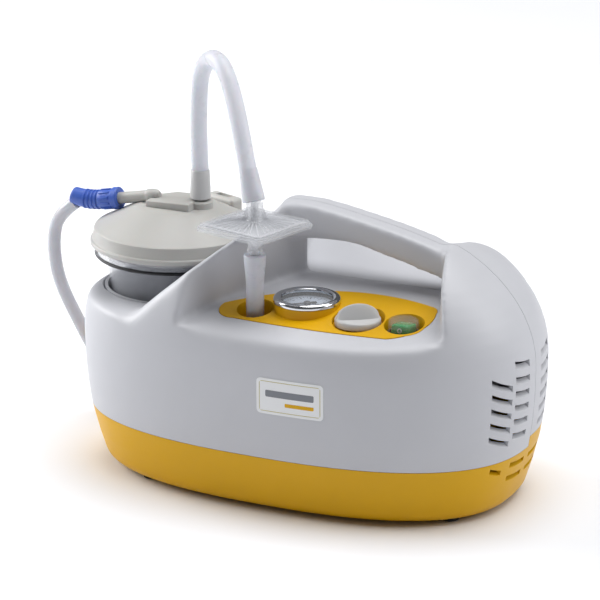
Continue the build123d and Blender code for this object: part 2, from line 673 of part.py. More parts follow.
front_shell, back_shell, base_tray = casing()
nodes = {"front_shell": front_shell, "back_shell": back_shell, "base_tray": base_tray,
         "rubber_feet": rubber_feet(), "case_screws": case_screws(), "base_screws": base_screws(),
         "label_plate": label_plate(), "jar_cradle": jar_cradle(), "control_panel": control_panel(),
         "gauge_needle": gauge_needle(), "suction_inlet": suction_inlet(), "inlet_tube": inlet_tube(),
         "bridge_hose": bridge_hose(), "canister_jar": canister_jar(), "jar_gasket": jar_gasket(),
         "canister_lid": canister_lid(), "float_cage": float_cage(), "float_ball": float_ball(),
         "hose_adapter": hose_adapter(), "patient_port": patient_port(), "hose_connector": hose_connector(),
         "patient_hose": hose("patient_hose", hose_route, hose_diameter), "patient_hose_coil": patient_coil(),
         "end_connector": end_connector(), "connecting_rod": connecting_rod()}
for group in (gauge(), regulator(), power_switch(), air_filter(), motor(), pump(), motor_mounting(),
              inner_lines(), electrics()):
    nodes.update(group)

for name, shape in nodes.items():
    pieces = solids_of(shape)
    export_step(Compound(children=pieces) if len(pieces) > 1 else pieces[0], f"parts/{name}.step")
print(len(nodes), "nodes")
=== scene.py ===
# %% [markdown]
# A portable suction pump of the kind that stands beside a hospital bed. A motor and a small piston
# pump inside the casing pull air through a filter and a jar; the jar catches what the hose brings.
# The CAD model already says where every part is and how it moves. This lesson dresses it: it makes
# the moulded shells, the clear plastics and the hoses, and gives each surface its real finish.

# %% Load the CAD frame
import bmesh
import bpy
import math
import numpy
from mathutils import Matrix, Vector


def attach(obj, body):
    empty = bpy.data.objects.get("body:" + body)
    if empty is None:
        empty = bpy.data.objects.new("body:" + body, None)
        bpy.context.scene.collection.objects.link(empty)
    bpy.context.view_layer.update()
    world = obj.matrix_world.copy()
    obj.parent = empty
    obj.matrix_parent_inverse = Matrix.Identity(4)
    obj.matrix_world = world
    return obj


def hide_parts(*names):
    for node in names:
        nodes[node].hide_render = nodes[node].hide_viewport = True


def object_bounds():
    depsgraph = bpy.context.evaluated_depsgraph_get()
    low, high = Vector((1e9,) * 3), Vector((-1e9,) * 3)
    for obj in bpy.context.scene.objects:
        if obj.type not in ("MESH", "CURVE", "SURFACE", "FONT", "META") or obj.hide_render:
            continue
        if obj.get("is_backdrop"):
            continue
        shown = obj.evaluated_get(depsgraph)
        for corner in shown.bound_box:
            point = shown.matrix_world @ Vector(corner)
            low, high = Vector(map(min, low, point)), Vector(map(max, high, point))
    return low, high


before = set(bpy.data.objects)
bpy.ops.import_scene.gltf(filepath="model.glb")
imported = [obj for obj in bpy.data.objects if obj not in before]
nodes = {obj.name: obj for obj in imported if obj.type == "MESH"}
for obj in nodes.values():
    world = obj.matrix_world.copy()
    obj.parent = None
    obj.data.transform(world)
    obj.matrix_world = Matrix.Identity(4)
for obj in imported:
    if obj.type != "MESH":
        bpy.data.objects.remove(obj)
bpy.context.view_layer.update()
mm = 0.001

# %% [markdown]
# The camera comes first, because everything after it is judged through it. A long lens from two
# metres away keeps the casing's lines calm, as in a catalogue picture.

# %% Camera
view_azimuth, view_elevation = math.radians(25.84), math.radians(18.06)
view_distance = 2.353
view_target = Vector((-0.0112, 0.0, 0.131))
backwards = Vector((math.sin(view_azimuth) * math.cos(view_elevation),
                    -math.cos(view_azimuth) * math.cos(view_elevation), math.sin(view_elevation)))
camera = bpy.data.objects.new("camera", bpy.data.cameras.new("camera"))
bpy.context.scene.collection.objects.link(camera)
camera.location = view_target + backwards * view_distance
camera.rotation_mode = "QUATERNION"
camera.rotation_quaternion = backwards.to_track_quat("Z", "Y")
camera.data.lens = 192
camera.data.sensor_width = 36
bpy.context.scene.camera = camera
bpy.context.scene.view_settings.view_transform = "Standard"
print("camera at", [round(c, 3) for c in camera.location])

# %% [markdown]
# Two helpers carry every material. A colour is written as it looks on a screen, so one function
# turns it into the linear light that a renderer adds up. The other adds a shader node, sets it and
# links it in one line, so that a material reads from top to bottom like a recipe.

# %% Colour and node helpers
def linear(colour):
    """Linear RGBA of an sRGB hex colour."""
    parts = [int(colour[i:i + 2], 16) / 255 for i in (1, 3, 5)]
    return [c / 12.92 if c <= 0.04045 else ((c + 0.055) / 1.055) ** 2.4 for c in parts] + [1.0]


def add(tree, kind, settings=None, links=None):
    """A new node, with its values set and its inputs linked."""
    node = tree.nodes.new("ShaderNode" + kind)
    for key, value in (settings or {}).items():
        if key in node.inputs:
            node.inputs[key].default_value = value
        else:
            setattr(node, key, value)
    for key, socket in (links or {}).items():
        tree.links.new(socket, node.inputs[key])
    return node


# %% [markdown]
# Moulded plastic is never one flat colour: the surface of the mould leaves a fine grain, the pigment
# is a little uneven, and handling polishes it in patches. Three noises do that, at three real sizes.
# The sizes are given in millimetres, and a noise scale is one over its size in metres.

# %% Surface recipe
cells_per_metre = 1 / mm


def surface(name, colour, roughness, grain=0.6, depth=0.02, uneven=0.05, patch=26.0, **sockets):
    """A material with pigment variation, a worn gloss and a moulded or cast grain."""
    made = bpy.data.materials.new(name)
    made.use_nodes = True
    tree = made.node_tree
    shader = tree.nodes["Principled BSDF"]
    for key, value in sockets.items():
        shader.inputs[key.replace("_", " ")].default_value = value
    where = add(tree, "TexCoord").outputs["Object"]
    pigment = add(tree, "TexNoise", {"Scale": cells_per_metre / patch, "Detail": 4.0}, {"Vector": where})
    rgba = linear(colour)
    dark = [c * (1 - uneven) for c in rgba[:3]] + [1]
    light = [min(c * (1 + uneven), 1) for c in rgba[:3]] + [1]
    tint = add(tree, "Mix", {"data_type": "RGBA"}, {"Factor": pigment.outputs["Fac"]})
    tint.inputs[6].default_value = dark
    tint.inputs[7].default_value = light
    tree.links.new(tint.outputs[2], shader.inputs["Base Color"])
    handled = add(tree, "TexNoise", {"Scale": cells_per_metre / (patch * 0.6), "Detail": 5.0},
                  {"Vector": where})
    gloss = add(tree, "MapRange", {"To Min": roughness * 0.85, "To Max": min(roughness * 1.18, 1)},
                {"Value": handled.outputs["Fac"]})
    tree.links.new(gloss.outputs["Result"], shader.inputs["Roughness"])
    fine = add(tree, "TexNoise", {"Scale": cells_per_metre / grain, "Detail": 2.0}, {"Vector": where})
    bump = add(tree, "Bump", {"Strength": 1.0, "Distance": depth * mm}, {"Height": fine.outputs["Fac"]})
    tree.links.new(bump.outputs["Normal"], shader.inputs["Normal"])
    return made


# %% [markdown]
# The finishes, each named for what it really is. Clear plastics get their own index of refraction:
# polycarbonate and styrene bend light more than silicone does. They are thin walls, so they are made
# see-through with alpha, which keeps their bright edges and gloss and needs no bent light. The grain
# is drawn a few times coarser than the real 0.1 mm spark texture, which a small picture can't show.

# %% Plastics, rubbers and metals
shell_abs = surface("abs_moulded_light_grey", "#C5C6CB", 0.42, grain=0.7, depth=0.025, uneven=0.02)
panel_abs = surface("abs_moulded_yellow", "#DCA800", 0.4, grain=0.7, depth=0.02, uneven=0.03,
                    Specular_IOR_Level=0.28)
lid_plastic = surface("polypropylene_warm_white", "#B9B8B4", 0.38, grain=1.4, depth=0.02, uneven=0.02,
                      Subsurface_Weight=0.08, Subsurface_Scale=0.004)
white_nylon = surface("nylon_white", "#C6C6C6", 0.35, grain=0.8, depth=0.015, uneven=0.015)
jar_clear = surface("polycarbonate_clear", "#D2D5DC", 0.1, grain=6.0, depth=0.02, uneven=0.03,
                    Alpha=0.28, IOR=1.58, Coat_Weight=0.3)
filter_clear = surface("styrene_clear", "#E6E8EC", 0.08, grain=6.0, depth=0.01, uneven=0.02,
                       Alpha=0.3, IOR=1.59, Coat_Weight=0.5)
milky_silicone = surface("silicone_milky", "#E0E2EA", 0.28, grain=5.0, depth=0.01, uneven=0.05, patch=9.0,
                         Alpha=0.72, IOR=1.41, Subsurface_Weight=0.2, Subsurface_Scale=0.003)
hose_vinyl = surface("vinyl_hose_smoky", "#CDCED5", 0.24, grain=9.0, depth=0.05, uneven=0.08, patch=12.0,
                     Alpha=0.85, IOR=1.53, Subsurface_Weight=0.15, Subsurface_Scale=0.003)
blue_vinyl = surface("vinyl_blue", "#4465BE", 0.38, grain=1.2, depth=0.03, uneven=0.06, patch=9.0,
                     Subsurface_Weight=0.05, Subsurface_Scale=0.002)
membrane_ptfe = surface("ptfe_membrane", "#BCBDC1", 0.7, grain=0.5, depth=0.02, uneven=0.03)
black_nitrile = surface("nitrile_black", "#16171A", 0.45, grain=0.9, depth=0.03, uneven=0.2)
foot_rubber = surface("rubber_dark_grey", "#2B2C2E", 0.7, grain=0.8, depth=0.05, uneven=0.15)
black_nylon = surface("nylon_black", "#1B1B1D", 0.4, grain=0.6, depth=0.02, uneven=0.15)
green_lens = surface("polycarbonate_green", "#0A9E58", 0.22, grain=3.0, depth=0.02, uneven=0.06,
                     Coat_Weight=0.4)
boot_vinyl = surface("vinyl_clear_boot", "#EFE0D8", 0.14, grain=5.0, depth=0.04, uneven=0.03,
                     Alpha=0.1, IOR=1.53, Coat_Weight=0.4)
gauge_glass = surface("glass_window", "#FFFFFF", 0.03, grain=20.0, depth=0.01, uneven=0.0, Alpha=0.1,
                      IOR=1.52)
dial_paint = surface("dial_enamel_grey_blue", "#B9C3D2", 0.5, grain=0.5, depth=0.01, uneven=0.02)
ink = surface("printing_ink_dark", "#30343B", 0.5, grain=0.4, depth=0.01, uneven=0.1)
label_film = surface("polyester_label_film", "#ECEDEE", 0.25, grain=0.8, depth=0.01, uneven=0.01,
                     Coat_Weight=0.3)
olive_ink = surface("printing_ink_olive", "#B9AE62", 0.4, grain=0.6, depth=0.01, uneven=0.05)
grey_ink = surface("printing_ink_grey", "#7D8087", 0.4, grain=0.6, depth=0.01, uneven=0.05)
chrome = surface("steel_chrome_plated", "#D8DADD", 0.09, grain=8.0, depth=0.01, uneven=0.02, Metallic=1.0)
zinc = surface("steel_zinc_plated", "#B4B7BA", 0.3, grain=0.5, depth=0.02, uneven=0.1, Metallic=1.0)
cast_metal = surface("aluminium_die_cast", "#9DA0A3", 0.45, grain=0.8, depth=0.05, uneven=0.1, Metallic=1.0)
brass = surface("brass_turned", "#C9A65A", 0.28, grain=0.4, depth=0.01, uneven=0.06, Metallic=1.0)
board_resin = surface("circuit_board_resin", "#1F6B3C", 0.35, grain=1.0, depth=0.03, uneven=0.2)
print(len(bpy.data.materials), "finishes")

# %% [markdown]
# Shapes are modelled in millimetres and written in metres. A turned part is a half section spun
# round its axis, a moulded plate is an outline pushed along a direction, and a sharp corner is then
# bevelled, because no moulding has a knife edge and the bevel is what catches the light.

# %% Shape helpers
def moved(shape, x, y, z=0.0):
    """Moves a shape by millimetres."""
    bmesh.ops.translate(shape, vec=(x * mm, y * mm, z * mm), verts=shape.verts)
    return shape


def turned(shape, angle, axis, centre=(0, 0, 0)):
    """Turns a shape by degrees about an axis through a place in millimetres."""
    turn = Matrix.Rotation(math.radians(angle), 3, axis)
    bmesh.ops.rotate(shape, cent=Vector(centre) * mm, matrix=turn, verts=shape.verts)
    return shape


def lathe(profile, at=(0.0, 0.0), steps=96):
    """Solid of revolution about a vertical axis from (radius, height) points."""
    shape = bmesh.new()
    line = [shape.verts.new((r * mm, 0, z * mm)) for r, z in profile]
    to_axis = profile[0][0] == 0 and profile[-1][0] == 0
    pairs = list(zip(line, line[1:])) if to_axis else list(zip(line, line[1:] + line[:1]))
    edges = [shape.edges.new(pair) for pair in pairs]
    bmesh.ops.spin(shape, geom=line + edges, axis=(0, 0, 1), angle=2 * math.pi, steps=steps, use_merge=True)
    bmesh.ops.remove_doubles(shape, verts=shape.verts, dist=0.001 * mm)
    bmesh.ops.recalc_face_normals(shape, faces=shape.faces)
    return moved(shape, *at)


def rod(radius, low, high, at=(0.0, 0.0), steps=96):
    """Upright cylinder between two heights."""
    return lathe([(0, low), (radius, low), (radius, high), (0, high)], at, steps)


def prism(outline, push):
    """Solid from an outline of (x, y, z) points pushed along a vector."""
    shape = bmesh.new()
    face = shape.faces.new([shape.verts.new([c * mm for c in point]) for point in outline])
    moved = bmesh.ops.extrude_face_region(shape, geom=[face])["geom"]
    far = [v for v in moved if isinstance(v, bmesh.types.BMVert)]
    bmesh.ops.translate(shape, vec=[c * mm for c in push], verts=far)
    bmesh.ops.recalc_face_normals(shape, faces=shape.faces)
    return shape


def block(x, y, z):
    """Box from three (low, high) pairs."""
    shape = bmesh.new()
    bmesh.ops.create_cube(shape, size=1)
    bmesh.ops.scale(shape, vec=[(pair[1] - pair[0]) * mm for pair in (x, y, z)], verts=shape.verts)
    return moved(shape, *[(pair[0] + pair[1]) / 2 for pair in (x, y, z)])


def round_corners(shape, axis, radius):
    """Rounds the edges of a block that run along one axis."""
    along = [e for e in shape.edges if abs(e.verts[0].co[axis] - e.verts[1].co[axis]) > 0.1 * mm]
    bmesh.ops.bevel(shape, geom=along, offset=radius * mm, offset_type="OFFSET", segments=6, profile=0.5,
                    affect="EDGES", material=-1)
    return shape


def soften(shape, width, segments=3, angle=28):
    """Bevels every edge that turns by more than the angle."""
    sharp = [e for e in shape.edges if e.is_manifold and e.calc_face_angle() > math.radians(angle)]
    bmesh.ops.bevel(shape, geom=sharp, offset=width * mm, offset_type="OFFSET", segments=segments,
                    profile=0.5, affect="EDGES", clamp_overlap=True, material=-1)
    return shape


def as_object(name, shape):
    """A mesh object at the origin from a bmesh."""
    mesh = bpy.data.meshes.new(name)
    shape.to_mesh(mesh)
    shape.free()
    made = bpy.data.objects.new(name, mesh)
    bpy.context.scene.collection.objects.link(made)
    return made


def copy_of(piece, name):
    """A second object with its own copy of a piece's mesh."""
    made = as_object(name, bmesh.new())
    made.data = piece.data.copy()
    return made


def apply(piece, kind, **settings):
    """Adds a modifier and makes its result the piece's own mesh."""
    modifier = piece.modifiers.new(kind.lower(), kind)
    for key, value in settings.items():
        setattr(modifier, key, value)
    graph = bpy.context.evaluated_depsgraph_get()
    mesh = bpy.data.meshes.new_from_object(piece.evaluated_get(graph), depsgraph=graph)
    piece.modifiers.clear()
    piece.data = mesh
    return piece


def combine(piece, shape, operation="DIFFERENCE"):
    """Cuts a piece with a shape, joins them, or keeps what they share."""
    tool = as_object("tool", shape) if isinstance(shape, bmesh.types.BMesh) else shape
    apply(piece, "BOOLEAN", object=tool, operation=operation, solver="MANIFOLD")
    if isinstance(shape, bmesh.types.BMesh):
        bpy.data.objects.remove(tool)
    return piece


def joined(*shapes):
    """Several separate shapes as one bmesh."""
    whole = bmesh.new()
    for shape in shapes:
        mesh = bpy.data.meshes.new("part")
        shape.to_mesh(mesh)
        whole.from_mesh(mesh)
        shape.free()
    return whole


def place(name, made, finish, body="root", replaces=(), angle=38):
    """Gives a shape its finish and smooth shading, and lets it ride on its body."""
    piece = as_object(name, made) if isinstance(made, bmesh.types.BMesh) else made
    piece.name = name
    mesh = piece.data
    mesh.materials.clear()
    mesh.materials.append(finish)
    mesh.polygons.foreach_set("material_index", [0] * len(mesh.polygons))
    mesh.polygons.foreach_set("use_smooth", [True] * len(mesh.polygons))
    mesh.set_sharp_from_angle(angle=math.radians(angle))
    mesh.update()
    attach(piece, body)
    if replaces:
        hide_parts(*replaces)
    print(name, len(mesh.polygons), "faces")
    return piece


# %% [markdown]
# The hoses. The patient hose is soft vinyl tube: it leaves the blue connector, falls past the left
# end of the casing and runs along the table to a coil behind it. It is one smooth curve of its full
# length, so the coil's turns are more points of the same curve, worked out by a loop.

# %% Patient hose
hose_diameter = 10.0
hose_route = [(-196.5, -4.0, 183.6), (-213.0, -3.0, 172.0), (-220.5, 1.0, 148.0), (-221.5, 9.0, 116.0),
              (-212.0, 22.0, 80.0), (-203.0, 38.0, 44.0), (-194.0, 62.0, 16.0), (-181.0, 88.0, 5.0),
              (-160.0, 114.0, 5.0), (-137.0, 138.0, 5.0), (-124.0, 162.0, 5.0)]
coil_at = (-60.0, 190.0)
points_per_turn = 18


def ease(share, start, stop):
    """Goes from 0 at start to 1 at stop, level at both ends."""
    t = min(max((share - start) / (stop - start), 0), 1)
    return t * t * (3 - 2 * t)


def coil_point(turns):
    """A point of the coil after so many turns: out, in, up, out again and up."""
    radius = 60 - 10 * ease(turns, 0.8, 1.0) + 10 * ease(turns, 2.05, 2.3)
    height = 5.3 + 10 * ease(turns, 1.68, 1.9) + 10.2 * ease(turns, 3.1, 3.4) + 2 * ease(turns, 3.7, 3.95)
    angle = math.radians(180 - 360 * turns)
    return (coil_at[0] + radius * math.cos(angle), coil_at[1] + radius * math.sin(angle), height)


coil = [coil_point(step / points_per_turn) for step in range(1, 4 * points_per_turn)]
hose_points = hose_route + coil[:-1] + [(-116.0, 178.0, 27.4), (-115.0, 193.0, 27.5)]


def cord_curve(name, points, diameter):
    """A round cord on one smooth spline."""
    curve = bpy.data.curves.new(name, "CURVE")
    curve.dimensions = "3D"
    spline = curve.splines.new("NURBS")
    spline.points.add(len(points) - 1)
    for knot, point in zip(spline.points, points):
        knot.co = [c * mm for c in point] + [1]
    spline.order_u = 3
    spline.use_endpoint_u = True
    spline.resolution_u = 6
    curve.bevel_depth = diameter / 2 * mm
    curve.bevel_resolution = 5
    curve.use_fill_caps = True
    made = bpy.data.objects.new(name, curve)
    bpy.context.scene.collection.objects.link(made)
    return made


patient_hose = cord_curve("patient_hose_tube", hose_points, hose_diameter)
patient_hose.data.materials.append(hose_vinyl)
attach(patient_hose, "canister")
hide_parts("patient_hose", "patient_hose_coil")

# %% [markdown]
# The bridge hose is stiffer and formed: it rises from the lid's vacuum port, arches over and comes
# down on the filter. The flare at its lower end is a cuff of its own, made with the inlet tube.

# %% Bridge hose
bridge_diameter = 12.8
bridge_route = [(-93.5, 1.0, 220.4), (-94.5, 1.0, 246.0), (-94.0, 1.0, 273.0), (-89.0, -5.0, 298.0),
                (-73.0, -17.0, 313.0), (-55.0, -32.0, 308.0), (-40.0, -45.0, 285.0),
                (-28.0, -56.0, 257.0), (-18.0, -63.0, 226.0)]
bridge_hose = cord_curve("bridge_hose_tube", bridge_route, bridge_diameter)
bridge_hose.data.materials.append(milky_silicone)
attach(bridge_hose, "canister")
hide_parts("bridge_hose")
print("hoses made")

# %% [markdown]
# The casing is three mouldings cut from one flowing form, so it is modelled the same way: one solid
# block of "clay" first, then hollowed and parted. The clay starts as a rounded-square outline that
# is stacked into a body with a domed top. Remeshing it to an even skin lets each edge be rubbed down
# by its own amount: hard at the crest, soft where the hand recess rolls into the front.

# %% The clay: stacked outlines
body_half_length, body_half_width = 176.0, 107.0
belt_height, dome_rise, dome_degrees = 107.0, 102.0, 82
outline_power = 2.5
base_outline = [(3.0, 155.0, 88.5), (5.0, 158.5, 92.0), (9.0, 161.5, 95.0), (26.0, 166.6, 99.9),
                (46.0, 171.4, 104.4), (64.0, 174.0, 106.1), (80.0, 175.3, 106.8), (94.0, 175.9, 107.0)]
dome_levels = 16
outline_steps = 160


def dome_share(height):
    """How much of the belt's outline is left at a height above the belt."""
    return (1 - ((height - belt_height) / dome_rise) ** 2) ** (1 / outline_power)


levels = list(base_outline)
for step in range(dome_levels):
    height = belt_height + dome_rise * math.sin(math.radians(step * dome_degrees / (dome_levels - 1)))
    share = dome_share(height)
    levels.append((height, body_half_length * share, body_half_width * share))


def skin_x(y, height):
    """How far right the body's skin is at a place on the right end."""
    if height > belt_height:
        a, b = body_half_length * dome_share(height), body_half_width * dome_share(height)
    else:
        a = float(numpy.interp(height, [row[0] for row in base_outline], [row[1] for row in base_outline]))
        b = a - (body_half_length - body_half_width)
    return a * (1 - abs(y / b) ** outline_power) ** (1 / outline_power)


def stacked_body():
    """The rounded-square outline stacked up level by level."""
    shape = bmesh.new()
    bmesh.ops.create_circle(shape, cap_ends=False, segments=outline_steps, radius=1)
    rim = list(shape.edges)
    bmesh.ops.contextual_create(shape, geom=rim)
    for _ in levels[1:]:
        moved = bmesh.ops.extrude_edge_only(shape, edges=rim)["geom"]
        rim = [e for e in moved if isinstance(e, bmesh.types.BMEdge)]
        above = [v for v in moved if isinstance(v, bmesh.types.BMVert)]
        bmesh.ops.translate(shape, vec=(0, 0, 1), verts=above)
    bmesh.ops.contextual_create(shape, geom=rim)
    for corner in shape.verts:
        height, a, b = levels[round(corner.co.z)]
        angle = math.atan2(corner.co.y, corner.co.x)
        c, s = math.cos(angle), math.sin(angle)
        corner.co = (a * mm * math.copysign(abs(c) ** (2 / outline_power), c),
                     b * mm * math.copysign(abs(s) ** (2 / outline_power), s), height * mm)
    bmesh.ops.recalc_face_normals(shape, faces=shape.faces)
    return shape


def eased_line(points, rounds=3):
    """Cuts the corners off a line again and again, until it bends smoothly."""
    for _ in range(rounds):
        cut = [points[0]]
        for p, q in zip(points, points[1:]):
            cut += [[a * 0.75 + b * 0.25 for a, b in zip(p, q)], [a * 0.25 + b * 0.75 for a, b in zip(p, q)]]
        points = cut + [points[-1]]
    return points


# %% [markdown]
# Next the clay is carved: a flat ledge round the jar with a ridge sloping up to the handle, a round
# bay for the lid, and a hand recess on each side of the handle, so that fingers close round the bar.

# %% The clay: ridge, lid bay, hand recesses and handle
jar_at = (-112.8, 0.0)
above_all = 260.0
ledge_height, ridge_slope, ridge_foot = 131.0, 0.87, (-99.0, 137.0)
lid_bay_radius, jar_hole_radius = 70.0, 54.8
deck_height, deck_fall, rear_deck_rise = 154.5, 0.2, 0.03
deck_left = [(-5, 0), (-26, -28), (-45, -57), (-59, -90), (-72, -130)]
deck_right = [(107, 0), (118, -40), (133, -73), (152, -90), (175, -130)]
rear_left = [(-5, 0), (-20, 28), (-32, 57), (-42, 90), (-52, 130)]
rear_right = [(107, 0), (116, 30), (126, 60), (137, 90), (150, 130)]
handle_half_width = 14.0
handle_top = [(-22, 208), (0, 209), (20, 206.5), (53, 200.5), (75, 196), (102, 189), (128, 178)]
handle_under = [(-22, 182), (2, 182.5), (20, 184.5), (40, 184), (60, 178.5), (80, 174), (106, 168),
                (128, 160)]


def deck_z(y):
    """Height of the front deck."""
    return deck_height + deck_fall * y


def recess_cut(left, right, fall):
    """Space of a hand recess above its sloping floor."""
    side = math.copysign(1, left[-1][1])
    plan = [(left[0][0], -side * 3)] + eased_line(left) + eased_line(right)[::-1] + [(right[0][0], -side * 3)]
    return prism([(x, y, deck_height + fall * y) for x, y in plan], (0, 0, 160))


clay = as_object("clay", stacked_body())
knee = ridge_foot[0] + (ledge_height - ridge_foot[1]) / ridge_slope
crown = ridge_foot[0] + (above_all - ridge_foot[1]) / ridge_slope
combine(clay, prism([(-260, -150, ledge_height), (knee, -150, ledge_height), (crown, -150, above_all),
                     (-260, -150, above_all)], (0, 300, 0)))
combine(clay, rod(lid_bay_radius, ledge_height, above_all, jar_at))
combine(clay, recess_cut(deck_left, deck_right, deck_fall))
combine(clay, recess_cut(rear_left, rear_right, rear_deck_rise))
grip = eased_line(handle_top) + eased_line(handle_under)[::-1]
bar = prism([(x, -handle_half_width, z) for x, z in grip], (0, 2 * handle_half_width, 0))
combine(clay, bar, "UNION")
print("carved clay", len(clay.data.polygons), "faces")

# %% [markdown]
# Rubbing down. Each line names an edge of the form and how wide it is worked. The weight falls off
# with distance, and a smoothing brush is run over it more often where the real edge is rounder.

# %% Rubbing the edges down
skin_step = 2.1


def near_line(points, inner, outer):
    """Weight of each vertex of the clay: 1 near a line and 0 away from it."""
    flat = numpy.empty(len(clay.data.vertices) * 3)
    clay.data.vertices.foreach_get("co", flat)
    spots = flat.reshape(-1, 3) / mm
    best = numpy.full(len(spots), 1e9)
    for p, q in zip(points, points[1:]):
        p, q = numpy.array(p, float), numpy.array(q, float)
        along = numpy.clip((spots - p) @ (q - p) / ((q - p) @ (q - p)), 0, 1)
        best = numpy.minimum(best, numpy.linalg.norm(spots - (p + along[:, None] * (q - p)), axis=1))
    return numpy.clip((outer - best) / (outer - inner), 0, 1)


def rub(lines, rounds):
    """Smooths the clay along some lines."""
    weight = numpy.max([near_line(*line) for line in lines], axis=0)
    group = clay.vertex_groups.new(name="rub")
    for index in numpy.nonzero(weight)[0]:
        group.add([int(index)], float(weight[index]), "REPLACE")
    apply(clay, "SMOOTH", factor=0.5, iterations=rounds, vertex_group="rub")
    clay.vertex_groups.clear()


apply(clay, "REMESH", mode="VOXEL", voxel_size=skin_step * mm, adaptivity=0)
front_roll = [(-34, -100, 134), (0, -103, 134), (60, -103, 134), (100, -95, 135), (116, -88, 137)]
ridge_front = [(-104, -96, 133), (-72, -88, 160), (-44, -73, 185), (-27, -51, 200), (-18, -26, 208)]
ridge_back = [(x, -y, z) for x, y, z in ridge_front]
rim = [(-105, 91, 131), (-130, 79.6, 131), (-150, 63.8, 131), (-163, 42, 131), (-171, 15, 131),
       (-171, -15, 131), (-163, -42, 131), (-150, -63.8, 131), (-130, -79.6, 131), (-105, -91, 131)]
rear_roll = [(-50, 95, 157), (0, 99, 157), (60, 97, 157), (94, 88, 157)]
knee_front = [(-105, -60, 132), (-105, -100, 132)]
rub([(front_roll, 9, 21), (ridge_front, 8, 20), (ridge_back, 8, 20)], 60)
rub([(rim, 5, 13), (rear_roll, 5, 12), (knee_front, 10, 20)], 26)
right_crest = [(107, 0, 190), (112, -30, 182), (122, -55, 168), (136, -72, 150), (146, -80, 138)]
rear_crest = [(107, 0, 190), (112, 18, 188), (117, 34, 183), (124, 54, 170)]
left_crest = [(-16, -16, 205), (-28, -32, 197), (-42, -55, 184), (-55, -80, 160)]
rub([(right_crest, 6, 14), (left_crest, 4, 12)], 16)
rub([(rear_crest, 7, 16)], 40)
grip_edges = []
for side in (-handle_half_width, handle_half_width):
    grip_edges.append(([(x, side, z - 1) for x, z in handle_top[1:-1]], 5, 9))
    grip_edges.append(([(x, side, z + 1) for x, z in handle_under[1:-2]], 4, 8))
rub(grip_edges, 18)
everywhere = [(-300, 0, 0), (300, 0, 0)]
rub([(everywhere, 400, 500)], 3)
print("rubbed clay", len(clay.data.vertices), "points")

# %% [markdown]
# Now the clay becomes three thin mouldings. A copy shrunk by the wall thickness is the hollow inside.
# The two upper shells meet on the centre plane and the tray carries them; a hair of space is left
# along each joint, because that dark line is what tells the eye that there are three parts.

# %% Hollowing and parting the mouldings
wall, joint_gap = 3.0, 0.35
front_split, back_split = 46.0, 54.0
hollow_step = 3.0
skin_copy = copy_of(clay, "skin_copy")
hollow = copy_of(clay, "hollow")
apply(hollow, "DISPLACE", strength=-wall * mm, mid_level=0)
apply(hollow, "REMESH", mode="VOXEL", voxel_size=hollow_step * mm, adaptivity=0)
gap = joint_gap / 2
end_to_end = (-200, 200)
front_space = (end_to_end, (-150, -gap), (front_split + gap, above_all))
back_space = (end_to_end, (gap, 150), (back_split + gap, above_all))
moulds = {}
for name, space in (("front_casing", front_space), ("back_casing", back_space)):
    part = combine(copy_of(clay, name), block(*space), "INTERSECT")
    moulds[name] = combine(part, hollow)
tray = copy_of(clay, "base_casing")
combine(tray, block(end_to_end, (-150, gap), (front_split - gap, above_all)))
combine(tray, block(end_to_end, (-gap, 150), (back_split - gap, above_all)))
moulds["base_casing"] = combine(tray, hollow)
bpy.data.objects.remove(clay)
bpy.data.objects.remove(hollow)
print({name: len(part.data.polygons) for name, part in moulds.items()})

# %% [markdown]
# Openings come after the rubbing, so that they stay crisp: the hole for the jar, the leaf-shaped
# seat of the control panel, and the louvres. A louvre's slot slopes up inwards, so from outside one
# sees a light lower lip under a dark gap, and a spilled liquid can't run in.

# %% Panel outline and louvres
gauge_at, gauge_top = (17.0, -46.5), 152.0
bezel_radius, bezel_height = 24.5, 4.2
knob_at, knob_radius = (62.0, -57.0), 16.6
switch_at = (96.5, -54.5)
socket_at, socket_radius = (-16.5, -63.0), 13.0
louvre_pitch, louvre_height, louvre_slope = 10.4, 5.0, 1.0


def arc(start, middle, end, steps=14):
    """Points of the circle through three points, without the last one."""
    (ax, ay), (bx, by), (cx, cy) = start, middle, end
    d = 2 * (ax * (by - cy) + bx * (cy - ay) + cx * (ay - by))
    a2, b2, c2 = ax * ax + ay * ay, bx * bx + by * by, cx * cx + cy * cy
    ox = (a2 * (by - cy) + b2 * (cy - ay) + c2 * (ay - by)) / d
    oy = (a2 * (cx - bx) + b2 * (ax - cx) + c2 * (bx - ax)) / d
    first, last = math.atan2(ay - oy, ax - ox), math.atan2(cy - oy, cx - ox)
    through = math.atan2(by - oy, bx - ox)
    span = (last - first) % (2 * math.pi)
    if (through - first) % (2 * math.pi) > span:
        span -= 2 * math.pi
    radius = math.hypot(ax - ox, ay - oy)
    turns = [first + span * step / steps for step in range(steps)]
    return [(ox + radius * math.cos(t), oy + radius * math.sin(t)) for t in turns]


leaf = arc((-42, -61), (31, -22.5), (105, -25), 40) + arc((105, -25), (110.5, -28), (112.3, -34), 8)
leaf += arc((112.3, -34), (110, -60), (92, -76.5), 20) + arc((92, -76.5), (30, -80), (-26, -79), 24)
leaf += arc((-26, -79), (-40.5, -73), (-42, -61), 12)


def leaf_block(low, high, grow=0.0):
    """The leaf outline between two offsets from the deck, grown by a margin."""
    middle = (35.0, -52.0)
    wide = [(x + grow * math.copysign(1, x - middle[0]) * abs(x - middle[0]) / 76,
             y + grow * math.copysign(1, y - middle[1]) * min(abs(y - middle[1]) / 20, 1)) for x, y in leaf]
    return prism([(x, y, deck_z(y) + low) for x, y in wide], (0, 0, high - low))


